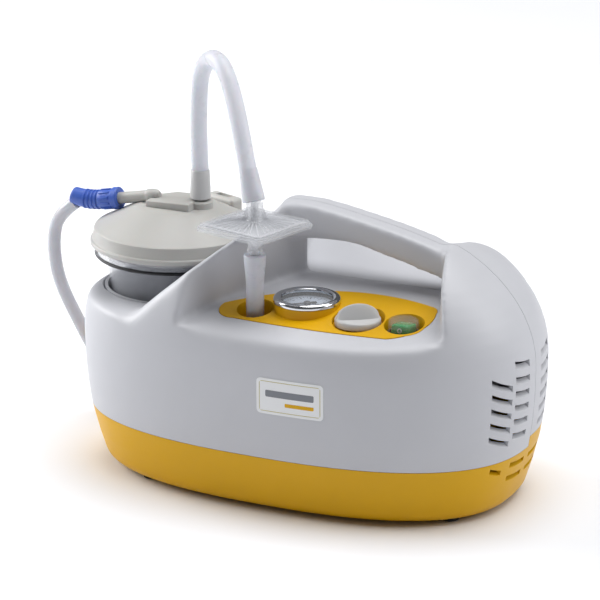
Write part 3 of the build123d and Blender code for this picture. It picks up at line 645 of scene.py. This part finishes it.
def louvre(near, far, low):
    """One sloping slot through the right end wall."""
    middle = (near + far) / 2
    skin = skin_x(middle, low)
    corners = []
    for x, rise in ((186, 0), (186, louvre_height), (130, louvre_height), (130, 0)):
        corners.append((x, near, low + rise + (skin - x) * louvre_slope))
    return prism(corners, (0, far - near, 0))


upper_slots, tray_slots = {-1: [], 1: []}, []
for side in (-1, 1):
    for near, far, count in ((33.5, 52.0, 5), (11.0, 30.0, 6)):
        low, high = sorted((side * near, side * far))
        for row in range(count):
            upper_slots[side].append(louvre(low, high, 60 + louvre_pitch * row))
    for near, far, height in ((35.0, 46.0, 36.5), (4.0, 26.0, 36.5), (4.0, 26.0, 26.0)):
        low, high = sorted((side * near, side * far))
        tray_slots.append(louvre(low, high, height))

# %% [markdown]
# The jar stands in a round hole shared by the front and the back moulding. A leaf-shaped hole in the
# deck takes the yellow panel. At the back there is a flat seat for the mains inlet and the fuse, and
# three wells for the screws.

# %% Cutting the openings
front, back, tray = moulds["front_casing"], moulds["back_casing"], moulds["base_casing"]
jar_hole = [(0, 100), (jar_hole_radius, 100), (jar_hole_radius, 128.5), (jar_hole_radius + 2.5, 133),
            (0, 133)]
for part in (front, back):
    combine(part, lathe(jar_hole, jar_at))
combine(front, leaf_block(-12, 12, 0.3))
combine(front, rod(bezel_radius + 0.4, 140, 180, gauge_at))
combine(front, joined(*upper_slots[-1]))
combine(back, joined(*upper_slots[1]))
combine(tray, joined(*tray_slots))
inlet_x, inlet_z, flat_y = 72.0, 85.0, 100.0
combine(back, block((16.5, 101.5), (flat_y - wall, flat_y), (68.5, 101.5)), "UNION")
combine(back, soften(block((20, 100), (flat_y, 130), (70, 100)), 2.0))
combine(back, block((inlet_x - 14.3, inlet_x + 14.3), (90, 110), (inlet_z - 10.5, inlet_z + 10.5)))
for x, z in ((165.0, 80.0), (148.0, 152.0), (-24.0, 178.0)):
    combine(back, moved(turned(rod(3.7, 5, 130), -90, "X"), x, 0, z))
place("front_casing", front, shell_abs, replaces=["front_shell"], angle=32)
place("back_casing", back, shell_abs, replaces=["back_shell"], angle=32)
place("base_casing", tray, panel_abs, replaces=["base_tray"], angle=32)

# %% [markdown]
# The control panel is one yellow moulding that drops into the leaf-shaped seat. Under its plate hang
# four cups: a socket for the inlet tube, the gauge's collar, and wells round the knob and the switch.

# %% Control panel
plate_proud = 0.4
panel = as_object("panel", leaf_block(-3, plate_proud))
wide_plan = ((-150, -150), (200, -150), (200, 50), (-150, 50))


def cup(radius, floor, at, rise=5.0):
    """Solid that becomes a cup under the panel."""
    return rod(radius, floor, deck_z(at[1]) + rise, at)


wells = [(socket_at, socket_radius, 127.0, 2.0), (knob_at, 18.5, 139.0, 2.0), (switch_at, 14.0, 135.0, 2.0)]
for at, radius, floor, thick in wells:
    side = as_object("side", cup(radius + thick, floor - 3, at))
    combine(side, prism([(x, y, deck_z(y) + plate_proud) for x, y in wide_plan], (0, 0, 60)))
    combine(panel, side, "UNION")
    bpy.data.objects.remove(side)
collar_top = gauge_top - bezel_height
combine(panel, cup(bezel_radius - 0.3, 130, gauge_at, collar_top - deck_z(gauge_at[1])), "UNION")
for at, radius, floor, thick in wells:
    combine(panel, lathe([(0, floor), (radius, floor), (radius, deck_z(at[1]) - 1.2),
                          (radius + 1.6, deck_z(at[1]) + 4), (0, deck_z(at[1]) + 4)], at))
combine(panel, cup(22.8, 100, gauge_at, 20))
for at, radius in ((socket_at, 5.2), (knob_at, 3.6), (switch_at, 10.1)):
    combine(panel, cup(radius, 100, at))
place("yellow_panel", panel, panel_abs, replaces=["control_panel"], angle=32)

# %% [markdown]
# The vacuum gauge. Its bezel is steel, polished and chrome plated, a ring with rounded shoulders. The
# dial is painted metal with a scale that needs no words: short and long marks. The pointer moves, so
# it rides on a body of its own.

# %% Gauge
top = gauge_top
bezel_profile = [(20.9, top - 4.2), (24.0, top - 4.2), (24.5, top - 3.6), (24.5, top - 2.2),
                 (24.1, top - 1.1), (23.2, top - 0.4), (22.2, top - 0.05), (21.2, top - 0.15),
                 (19.6, top - 0.7), (18.9, top - 1.1), (18.7, top - 1.8), (20.9, top - 2.0)]
place("gauge_chrome_bezel", lathe(bezel_profile, gauge_at, 128), chrome, replaces=["gauge_bezel"])
dial_z = top - 6.4
dial_disc = [(2.3, dial_z - 0.6), (20.0, dial_z - 0.6), (20.0, dial_z), (2.3, dial_z)]
place("gauge_dial_disc", lathe(dial_disc, gauge_at), dial_paint, replaces=["gauge_dial"])
print_top = dial_z + 0.06
marks = []
for step in range(28):
    half_wide, inner = (0.28, 12.0) if step % 3 == 0 else (0.16, 13.8)
    mark = block((-half_wide, half_wide), (inner, 16.2), (dial_z, print_top))
    marks.append(moved(turned(mark, 135 - step * 10, "Z"), *gauge_at))
marks.append(lathe([(16.6, dial_z), (16.9, dial_z), (16.9, print_top), (16.6, print_top)], gauge_at))
place("gauge_scale_marks", joined(*marks), ink)
inner_wall = [(19.95, dial_z), (20.9, dial_z), (20.9, top - 4.3), (19.95, top - 4.3)]
place("gauge_inner_wall", lathe(inner_wall, gauge_at), ink)
needle_rest, needle_z = -50, (dial_z + 0.7, dial_z + 1.2)
pointer = [block((-0.55, 0.55), (-15.0, 5.5), needle_z), block((-1.6, 1.6), (3.5, 7.0), needle_z)]
pointer = [moved(turned(shape, needle_rest, "Z"), *gauge_at) for shape in pointer]
hub = [(0, dial_z + 0.1), (2.6, dial_z + 0.1), (2.6, dial_z + 1.5), (2.0, dial_z + 2.0), (0, dial_z + 2.1)]
pointer.append(lathe(hub, gauge_at, 40))
place("gauge_pointer", joined(*pointer), ink, "needle", ["gauge_needle"])
glass = [(0, top - 3.4), (20.7, top - 3.4), (20.7, top - 2.0), (0, top - 1.9)]
place("gauge_glass", lathe(glass, gauge_at), gauge_glass, replaces=["gauge_window"])

# %% [markdown]
# The regulator knob is a white disc with a fin to grip. The fin is half a disc standing on the
# knob: thick at its root, thin along its round crest. It starts as a flat grid whose points are
# lifted to the arc, so that its sides lean in towards the crest.

# %% Knob
knob_turn = 36.0
fin_reach, fin_foot, fin_root, fin_rise, crest_share = 15.6, 142.0, 145.0, 10.2, 0.22
fin = bmesh.new()
bmesh.ops.create_grid(fin, x_segments=28, y_segments=12, size=1)
for point in fin.verts:
    x, y = point.co.x, point.co.y
    rise = math.sqrt(max(1 - x * x, 0))
    slope = 1 - max(abs(y) - crest_share, 0) / (1 - crest_share)
    half_depth = 3.6 + 2.0 * rise
    point.co = (x * fin_reach * mm, y * half_depth * mm, (fin_root + fin_rise * rise * slope) * mm)
down = bmesh.ops.extrude_edge_only(fin, edges=[e for e in fin.edges if e.is_boundary])["geom"]
for point in [v for v in down if isinstance(v, bmesh.types.BMVert)]:
    point.co.z = fin_foot * mm
bmesh.ops.holes_fill(fin, edges=[e for e in fin.edges if e.is_boundary], sides=0)
bmesh.ops.recalc_face_normals(fin, faces=fin.faces)
moved(turned(fin, knob_turn, "Z"), *knob_at)
disc = [(0, 140), (knob_radius - 0.2, 140), (knob_radius, 140.4), (knob_radius, 144.0),
        (knob_radius - 0.4, 144.8), (knob_radius - 1.2, 145.2), (0, 145.2)]
knob = combine(as_object("knob", lathe(disc, knob_at)), fin, "UNION")
place("regulator_white_knob", knob, white_nylon, "knob", ["regulator_knob"], 40)

# %% [markdown]
# The switch is a round rocker with a soft clear boot over it, which keeps fluids out. The boot is a
# thin shell, so that light goes through two skins and the green rocker shows.

# %% Switch
x, y = switch_at
rocker_half_width, rocker_half_depth, rocker_tip, rocker_axle = 6.9, 7.6, -8, (x, y, 138.5)
rocker = block((x - rocker_half_width, x + rocker_half_width), (y - rocker_half_depth, y + rocker_half_depth),
               (135, 144.6))
turned(soften(rocker, 1.8, 4), rocker_tip, "X", rocker_axle)
place("switch_green_rocker", rocker, green_lens, "rocker", ["switch_rocker"])
ring = turned(lathe([(1.1, 0), (1.75, 0), (1.75, 0.12), (1.1, 0.12)], steps=40), 90, "X")
turned(moved(ring, x, y - rocker_half_depth, 140.4), rocker_tip, "X", rocker_axle)
place("switch_off_mark", ring, label_film, "rocker")
boot = [(0, 148.5), (6.0, 148.4), (8.7, 148.0), (9.7, 147.3), (10.3, 146.0), (10.5, 144.0), (10.0, 139.3),
        (11.2, 139.3), (11.3, 144.0), (11.0, 146.4), (10.3, 147.9), (9.0, 148.7), (6.0, 149.1), (0, 149.2)]
place("switch_clear_boot", lathe(boot, switch_at), boot_vinyl, replaces=["switch_boot"], angle=50)
flange = [(10.0, 137.5), (13.4, 135.2), (13.4, 136.2), (11.6, 139.0), (10.0, 139.2)]
place("switch_boot_collar", lathe(flange, switch_at), black_nylon, replaces=["boot_collar"])
print("controls made")

# %% [markdown]
# The jar and its lid. The jar is clear polycarbonate, tapered so that it lifts out of the ledge; a
# black ring seals it under the lid's rim. The lid is a warm white moulding: a skirt, a wide cone,
# a raised block for the two ports and a hump that locks it.

# %% Jar, gasket and lid
jar_profile = [(0, 37.2), (43.0, 37.2), (45.2, 37.8), (46.5, 40), (49.8, 131), (53.4, 152), (56, 154.8),
               (60.5, 157), (62, 158), (62, 163), (58.5, 163), (58.5, 160), (54.5, 157), (51.2, 151.5),
               (47.7, 131), (44.5, 42), (42, 39.7), (0, 39.7)]
place("jar_clear_tapered", lathe(jar_profile, jar_at, 144), jar_clear, "canister", ["canister_jar"], 24)
seal = [(60.4 + 1.25 * math.cos(math.radians(step * 30)), 155.9 + 1.25 * math.sin(math.radians(step * 30)))
        for step in range(12)]
place("jar_black_seal", lathe(seal, jar_at, 144), black_nitrile, "canister", ["jar_gasket"])
lid_profile = [(0, 192), (26, 192), (29, 191.4), (32.5, 189.9), (57.8, 177.4), (59.6, 176.3), (60.8, 175.9),
               (61.6, 175.2), (62.0, 174.0), (62.9, 168.2), (63.4, 167.2), (64.3, 166.7), (64.7, 166.0),
               (64.7, 163.9), (64.1, 163.1), (57.4, 163.1), (57.4, 159.5), (55.0, 159.5), (55.0, 174.5),
               (32, 187.6), (27, 189.4), (0, 189.4)]
lid = as_object("lid", lathe(lid_profile, jar_at, 144))
block_outline = [(-130, -17), (-94, -17), (-94, 14), (-119, 14), (-130, 4)]
port_block = soften(prism([(x, y, 188.5) for x, y in block_outline], (0, 0, 8.6)), 1.0)
combine(lid, turned(port_block, -2, "Y", (-112, 0, 190)), "UNION")
port_at, port_exit, port_tilt = (-93.5, 1.0), (-131.0, -4.0, 196.9), 11.0
combine(lid, lathe([(0, 190), (9.5, 190), (9.5, 196.2), (8.6, 197.2), (0, 197.2)], port_at, 64), "UNION")
hump_turn, hump_middle = -20, (-97, 46, 183)
hump = soften(block((-112, -82), (40, 52), (176, 188.6)), 3.0, 5)
turned(hump, hump_turn, "Z", hump_middle)
under_lid = lathe([(0, 100), (60, 100), (60, 174), (32, 187.5), (0, 187.5)], jar_at)
hump_piece = combine(as_object("hump", hump), under_lid)
combine(lid, hump_piece, "UNION")
bpy.data.objects.remove(hump_piece)
slot = soften(block((-104, -90), (43.6, 48.4), (186.4, 192)), 1.0)
combine(lid, turned(slot, hump_turn, "Z", hump_middle))
combine(lid, rod(2.8, 180, 210, port_at, 48))


def along_port(shape):
    """Lays a shape that was turned about Z onto the patient port's axis."""
    return moved(turned(shape, -90 - port_tilt, "Y"), *port_exit)


port_root = [(0, -7), (2.5, -6.4), (4.2, -4.4), (5.1, -1), (5.2, 3), (4.9, 4.0), (0, 4.0)]
combine(lid, along_port(lathe(port_root, steps=64)), "UNION")
combine(lid, along_port(rod(4.43, 0.5, 60, steps=64)))
place("lid_warm_white", lid, lid_plastic, "canister", ["canister_lid"], 26)

# %% [markdown]
# Ports and sleeves. The rigid sleeve stands on the vacuum port; the patient port is a plain tube
# that runs out to the left, with the blue connector pushed over it.

# %% Port sleeve and patient port
sleeve = [(4.7, 199.3), (5.3, 198.6), (7.2, 198.6), (7.7, 199.2), (7.5, 208), (7.1, 219.6), (6.6, 220.3),
          (4.0, 220.3), (3.1, 219.8), (3.0, 207), (4.7, 206.4)]
place("vacuum_port_sleeve", lathe(sleeve, port_at), white_nylon, "canister", ["hose_adapter"])
nozzle = [(2.6, 0.6), (4.4, 0.6), (4.4, 33.4), (3.9, 34), (2.6, 34)]
place("patient_port_tube", along_port(lathe(nozzle, steps=64)), lid_plastic, "canister", ["patient_port"])

# %% [markdown]
# The blue connector is soft vinyl. It is turned straight, with its collar, long flutes and four
# rings, and then bent: every point past the flutes is carried round an arc by its own distance.

# %% Blue connector
soft_profile = [(4.45, 28.4), (5.0, 28.0), (7.8, 28.0), (8.4, 28.7), (8.4, 32.6), (7.7, 33.3), (7.3, 33.6),
                (7.2, 44.4)]
for ring_start in (45.2, 48.6, 52.0, 55.4):
    soft_profile += [(6.7, ring_start), (6.7, ring_start + 0.6), (7.5, ring_start + 1.1),
                     (7.5, ring_start + 2.1), (6.7, ring_start + 2.6)]
soft_profile += [(6.9, 60.0), (6.8, 64.0), (6.6, 67.5), (6.1, 68.6), (5.1, 68.6), (5.0, 60.0), (4.45, 58.0)]
bend_start, bend_stop, bend_angle = 44.0, 68.6, 24.0
straight = lathe(soft_profile, steps=72)
bmesh.ops.subdivide_edges(straight, edges=[e for e in straight.edges if e.calc_length() > 3 * mm], cuts=2)
bmesh.ops.triangulate(straight, faces=[f for f in straight.faces if len(f.verts) > 4])
flutes = []
for step in range(10):
    flutes.append(turned(soften(block((6.6, 8.0), (-0.9, 0.9), (34.6, 43.4)), 0.3, 2), step * 36, "Z"))
connector = as_object("connector", straight)
combine(connector, joined(*flutes), "UNION")
bent = bmesh.new()
bent.from_mesh(connector.data)
bpy.data.objects.remove(connector)
arc_radius = (bend_stop - bend_start) / math.radians(bend_angle)
for point in bent.verts:
    past = point.co.z / mm - bend_start
    if past > 0:
        turn = past / arc_radius
        out = arc_radius - point.co.x / mm
        point.co.x = (arc_radius - out * math.cos(turn)) * mm
        point.co.z = (bend_start + out * math.sin(turn)) * mm
place("connector_blue_ribbed", along_port(bent), blue_vinyl, "canister", ["hose_connector"], 34)

# %% [markdown]
# The far end of the patient hose rests on its coil and ends in a tapered connector of the same blue.

# %% End connector
end_profile = [(2.6, -8), (6.6, -8), (7.4, -7.2), (7.4, 7.2), (6.9, 8), (6.9, 9.0)]
for ring_start in (10.0, 13.0, 16.0, 19.0):
    end_profile += [(6.5 - ring_start * 0.04, ring_start), (7.0 - ring_start * 0.06, ring_start + 0.6),
                    (7.0 - ring_start * 0.06, ring_start + 1.6), (6.4 - ring_start * 0.05, ring_start + 2.2)]
end_profile += [(5.0, 24), (4.4, 31.4), (3.9, 32), (2.6, 32)]
far_end = moved(turned(lathe(end_profile, steps=72), -90, "X"), -115, 192, 27.5)
place("end_connector_blue", far_end, blue_vinyl, "canister", ["end_connector"])

# %% [markdown]
# The air filter is a square of clear styrene in two halves, with a pale membrane between them. Ribs
# fan out from the middle and hold the membrane off the plastic, so that air reaches all of it. Each
# rib is as long as the square is wide in the rib's own direction.

# %% Air filter
filter_half_side, filter_turn, filter_low, filter_high = 30.0, 76.0, 201.5, 208.5
filter_middle = (filter_low + filter_high) / 2


def square(half, low, high, round_by):
    """Square slab of the filter at its turn, with rounded upright edges."""
    return round_corners(block((-half, half), (-half, half), (low, high)), 2, round_by)


def at_filter(shape):
    """Turns a shape to the filter's angle and moves it over the socket."""
    return moved(turned(shape, filter_turn, "Z"), *socket_at)


def fan_of_ribs(half, low, high, count=32):
    """Thin ribs fanned out inside the square."""
    ribs = []
    for step in range(count):
        angle = 360 / count * step
        reach = half / max(abs(math.cos(math.radians(angle))), abs(math.sin(math.radians(angle))))
        rib = block((6.5, reach - 1.5), (-0.35, 0.35), (low, high))
        ribs.append(turned(rib, angle, "Z"))
    return joined(*ribs)


lower = soften(square(filter_half_side, filter_low, filter_middle - 0.1, 3.0), 0.5, 2)
lower_half = as_object("lower", at_filter(lower))
spigot = [(0, 173), (3.9, 173), (4.35, 174), (4.35, 184), (5.8, 184.6), (5.8, 187), (5.0, 187.8),
          (5.4, 198), (8.0, filter_low + 0.4), (0, filter_low + 0.4)]
combine(lower_half, lathe(spigot, socket_at, 64), "UNION")
combine(lower_half, rod(2.6, 170, 210, socket_at, 48))
place("filter_lower_half", lower_half, filter_clear, "canister", ["filter_bottom"], 30)
upper = square(filter_half_side - 1.2, filter_middle + 0.1, filter_middle + 1.1, 2.6)
upper_half = as_object("upper", at_filter(upper))
rim = soften(square(filter_half_side - 1.6, filter_middle + 0.6, 207.4, 2.6), 0.4, 2)
rim_wall = as_object("rim_wall", at_filter(rim))
combine(rim_wall, at_filter(square(filter_half_side - 4.4, filter_middle, 210, 2.0)))
combine(upper_half, rim_wall, "UNION")
bpy.data.objects.remove(rim_wall)
cover_half_side, cover_top_share = 24.6, 0.3
pyramid = square(cover_half_side, filter_middle + 0.8, filter_high - 0.2, 2.0)
for point in pyramid.verts:
    if point.co.z > (filter_high - 1) * mm:
        point.co.x *= cover_top_share
        point.co.y *= cover_top_share
combine(upper_half, at_filter(pyramid), "UNION")
nipple = [(0, 206), (8.0, 207.6), (6.0, 209.4), (5.4, 212), (5.4, 219), (6.2, 219.6), (6.2, 221),
          (5.0, 221.6), (4.6, 223), (4.4, 231.4), (4.0, 232), (0, 232)]
combine(upper_half, lathe(nipple, socket_at, 64), "UNION")
combine(upper_half, rod(2.8, 207, 240, socket_at, 48))
place("filter_upper_half", upper_half, filter_clear, "canister", ["filter_top"], 30)
rib_climb, rib_run = 2.5, 17.2
fan = fan_of_ribs(24.8, filter_middle + 1.0, filter_middle + 1.9)
for point in fan.verts:
    away = max(abs(point.co.x), abs(point.co.y)) / mm
    point.co.z += rib_climb * (cover_half_side - away) / rib_run * mm
place("filter_upper_ribs", at_filter(fan), filter_clear, "canister")
bead = square(filter_half_side + 0.3, filter_middle - 1.5, filter_middle - 0.4, 3.2)
weld_bead = as_object("weld_bead", at_filter(bead))
combine(weld_bead, at_filter(square(filter_half_side - 0.4, filter_middle - 3, filter_middle + 1, 3.0)))
place("filter_weld_bead", weld_bead, filter_clear, "canister")
paper = at_filter(square(filter_half_side - 4.5, filter_middle - 0.5, filter_middle + 0.5, 2.0))
place("filter_white_membrane", paper, membrane_ptfe, "canister", ["filter_membrane"])
fins = []
for step in range(4):
    fin = prism([(5.0, -0.5, 208.8), (9.4, -0.5, 208.8), (5.8, -0.5, 219.2), (5.0, -0.5, 219.2)], (0, 1.0, 0))
    fins.append(turned(fin, 45 + step * 90, "Z"))
place("filter_nipple_fins", at_filter(joined(*fins)), filter_clear, "canister")

# %% [markdown]
# A short silicone tube joins the filter to the nipple in the panel's socket. Its top is flared over
# the filter's spigot. The same flare is on the lower end of the bridge hose.

# %% Inlet tube, hose cuff and nipple
tube = [(4.5, 131.4), (4.9, 131.0), (6.2, 131.0), (6.5, 131.4), (6.5, 160), (6.9, 168), (7.7, 176),
        (8.0, 180), (8.0, 182.4), (7.5, 183), (5.0, 183), (4.5, 182.4)]
place("inlet_silicone_tube", lathe(tube, socket_at), milky_silicone, "canister", ["inlet_tube"])
cuff = [(0, 2), (4.7, 2), (4.7, -1), (7.7, -1), (8.1, -0.4), (8.0, 3), (7.6, 9), (7.0, 16), (6.6, 21),
        (6.3, 22.5), (0, 22.5)]
cuff_shape = lathe(cuff, steps=72)
last_run = Vector(bridge_route[-2]) - Vector(bridge_route[-1])
lean = last_run.to_track_quat("Z", "Y").to_matrix()
bmesh.ops.rotate(cuff_shape, cent=(0, 0, 0), matrix=lean, verts=cuff_shape.verts)
place("bridge_hose_cuff", moved(cuff_shape, -17.2, -63.0, 223.4), milky_silicone, "canister")
socket_nipple = [(1.8, 108), (2.6, 108), (2.6, 118), (5.0, 118), (5.0, 127), (7.5, 127), (7.5, 129),
                 (4.2, 129), (4.2, 133), (3.7, 133.6), (4.2, 137), (3.7, 137.6), (4.2, 140.6), (3.6, 142),
                 (1.8, 142)]
place("socket_barbed_nipple", lathe(socket_nipple, socket_at, 64), white_nylon, replaces=["suction_inlet"])

# %% [markdown]
# The label is a thin film stuck on the front. It is cut from a copy of the casing's own skin, lifted by
# a fraction of a millimetre, so it follows the curve. Its print is plain bars. Four rubber feet carry
# the weight.

# %% Label and feet
label_x, label_z = (6.5, 57.5), (81.5, 108.0)
border_line, glue = 0.45, 0.02


def on_front(name, x, z, proud, finish, round_by=2.0, hole=None, replaces=()):
    """A thin film wrapped on the front casing."""
    film = apply(copy_of(skin_copy, name), "DISPLACE", strength=proud * mm, mid_level=0)
    combine(film, round_corners(block(x, (-115, -90), z), 1, round_by), "INTERSECT")
    if hole:
        combine(film, block(hole[0], (-116, -89), hole[1]))
    under = apply(copy_of(skin_copy, "under"), "DISPLACE", strength=glue * mm, mid_level=0)
    combine(film, under)
    bpy.data.objects.remove(under)
    return place(name, film, finish, replaces=replaces)


on_front("badge_film", label_x, label_z, 0.45, label_film, 3.0, replaces=["label_plate"])
border_x, border_z = (8.6, 55.4), (83.4, 106.1)
inside = [(pair[0] + border_line, pair[1] - border_line) for pair in (border_x, border_z)]
on_front("badge_border", border_x, border_z, 0.5, olive_ink, 2.0, inside)
on_front("badge_grey_bar", (13.5, 50.5), (94.5, 99.5), 0.5, grey_ink, 1.0)
on_front("badge_yellow_bar", (28.5, 50.5), (88.2, 91.0), 0.5, panel_abs, 0.8)
bpy.data.objects.remove(skin_copy)
feet = []
for at in ((-101.0, -66.0), (131.0, -47.0), (-101.0, 66.0), (131.0, 47.0)):
    feet.append(lathe([(0, 0), (5.6, 0), (6.3, 0.5), (6.5, 1.2), (6.5, 3), (0, 3)], at, 48))
place("four_rubber_feet", joined(*feet), foot_rubber, replaces=["rubber_feet"])

# %% [markdown]
# The rest of the CAD parts have the right shape already and only need their finish. Most sit inside
# the casing, and show through the louvres or when the jar is lifted out.

# %% Finishes of the CAD parts that stay
kept = {shell_abs: ["jar_cradle"], white_nylon: ["float_cage", "cooling_fan"],
        black_nylon: ["gauge_case", "switch_body", "power_inlet", "fuse_holder", "exhaust_muffler",
                      "regulator_valve"],
        zinc: ["regulator_stem", "case_screws", "base_screws", "head_screws", "motor_housing",
               "shaft_bearings", "motor_rotor", "motor_saddle", "pump_bracket", "crank"],
        cast_metal: ["motor_end_bells", "pump_cylinder", "cylinder_head", "connecting_rod"],
        blue_vinyl: ["float_ball"], milky_silicone: ["jar_line", "gauge_line", "pump_line"],
        black_nitrile: ["rubber_mounts"], board_resin: ["circuit_board"], brass: ["run_capacitor"]}
weld_within, crisp_above = 0.005, 32
for finish, names in kept.items():
    for name in names:
        part = nodes[name]
        part.data.materials.clear()
        part.data.materials.append(finish)
        weld = part.modifiers.new("weld", "WELD")
        weld.merge_threshold = weld_within * mm
        split = part.modifiers.new("crisp_edges", "EDGE_SPLIT")
        split.split_angle = math.radians(crisp_above)
        part.data.polygons.foreach_set("use_smooth", [True] * len(part.data.polygons))
print(sum(len(names) for names in kept.values()), "CAD parts finished")

# %% [markdown]

# %% [markdown]
# The studio. A plain pale table that isn't part of the object, a large soft lamp on the left and a
# weaker one on the right to model the curves, a wide light from the ceiling that keeps the table
# white, and a dim sky that fills the shadows.

# %% Table and light
table_shape = bmesh.new()
bmesh.ops.create_grid(table_shape, x_segments=1, y_segments=1, size=6)
table = as_object("table", table_shape)
table_paint = surface("studio_table_white", "#EDEEF1", 0.8, grain=3.0, depth=0.01, uneven=0.01, patch=300)
table.data.materials.append(table_paint)
table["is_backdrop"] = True


def soft_lamp(name, azimuth, elevation, distance, size, watts):
    """A square soft lamp that looks at the object's middle."""
    lamp = bpy.data.objects.new(name, bpy.data.lights.new(name, "AREA"))
    lamp.data.size = size
    lamp.data.energy = watts
    turn, lift = math.radians(azimuth), math.radians(elevation)
    out = Vector((math.sin(turn) * math.cos(lift), -math.cos(turn) * math.cos(lift), math.sin(lift)))
    lamp.location = view_target + out * distance
    lamp.rotation_mode = "QUATERNION"
    lamp.rotation_quaternion = out.to_track_quat("Z", "Y")
    bpy.context.scene.collection.objects.link(lamp)


soft_lamp("key_lamp", azimuth=-88, elevation=24, distance=1.9, size=1.3, watts=33)
soft_lamp("side_lamp", azimuth=108, elevation=28, distance=1.8, size=0.9, watts=8)
ceiling_light = bpy.data.objects.new("ceiling_light", bpy.data.lights.new("ceiling_light", "SUN"))
ceiling_light.data.energy = 2.75
ceiling_light.data.angle = math.radians(55)
ceiling_light.rotation_euler = (math.radians(-10), math.radians(8), 0)
bpy.context.scene.collection.objects.link(ceiling_light)
sky = bpy.data.worlds.new("studio_sky")
sky.use_nodes = True
background = sky.node_tree.nodes["Background"]
background.inputs["Color"].default_value = linear("#FAFBFF")
background.inputs["Strength"].default_value = 0.1
bpy.context.scene.world = sky

# %% [markdown]
# Last, the size of the dressed model is printed.

# %% Size of the dressed model
low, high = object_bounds()
print("visual box", [round(c, 4) for c in high - low])
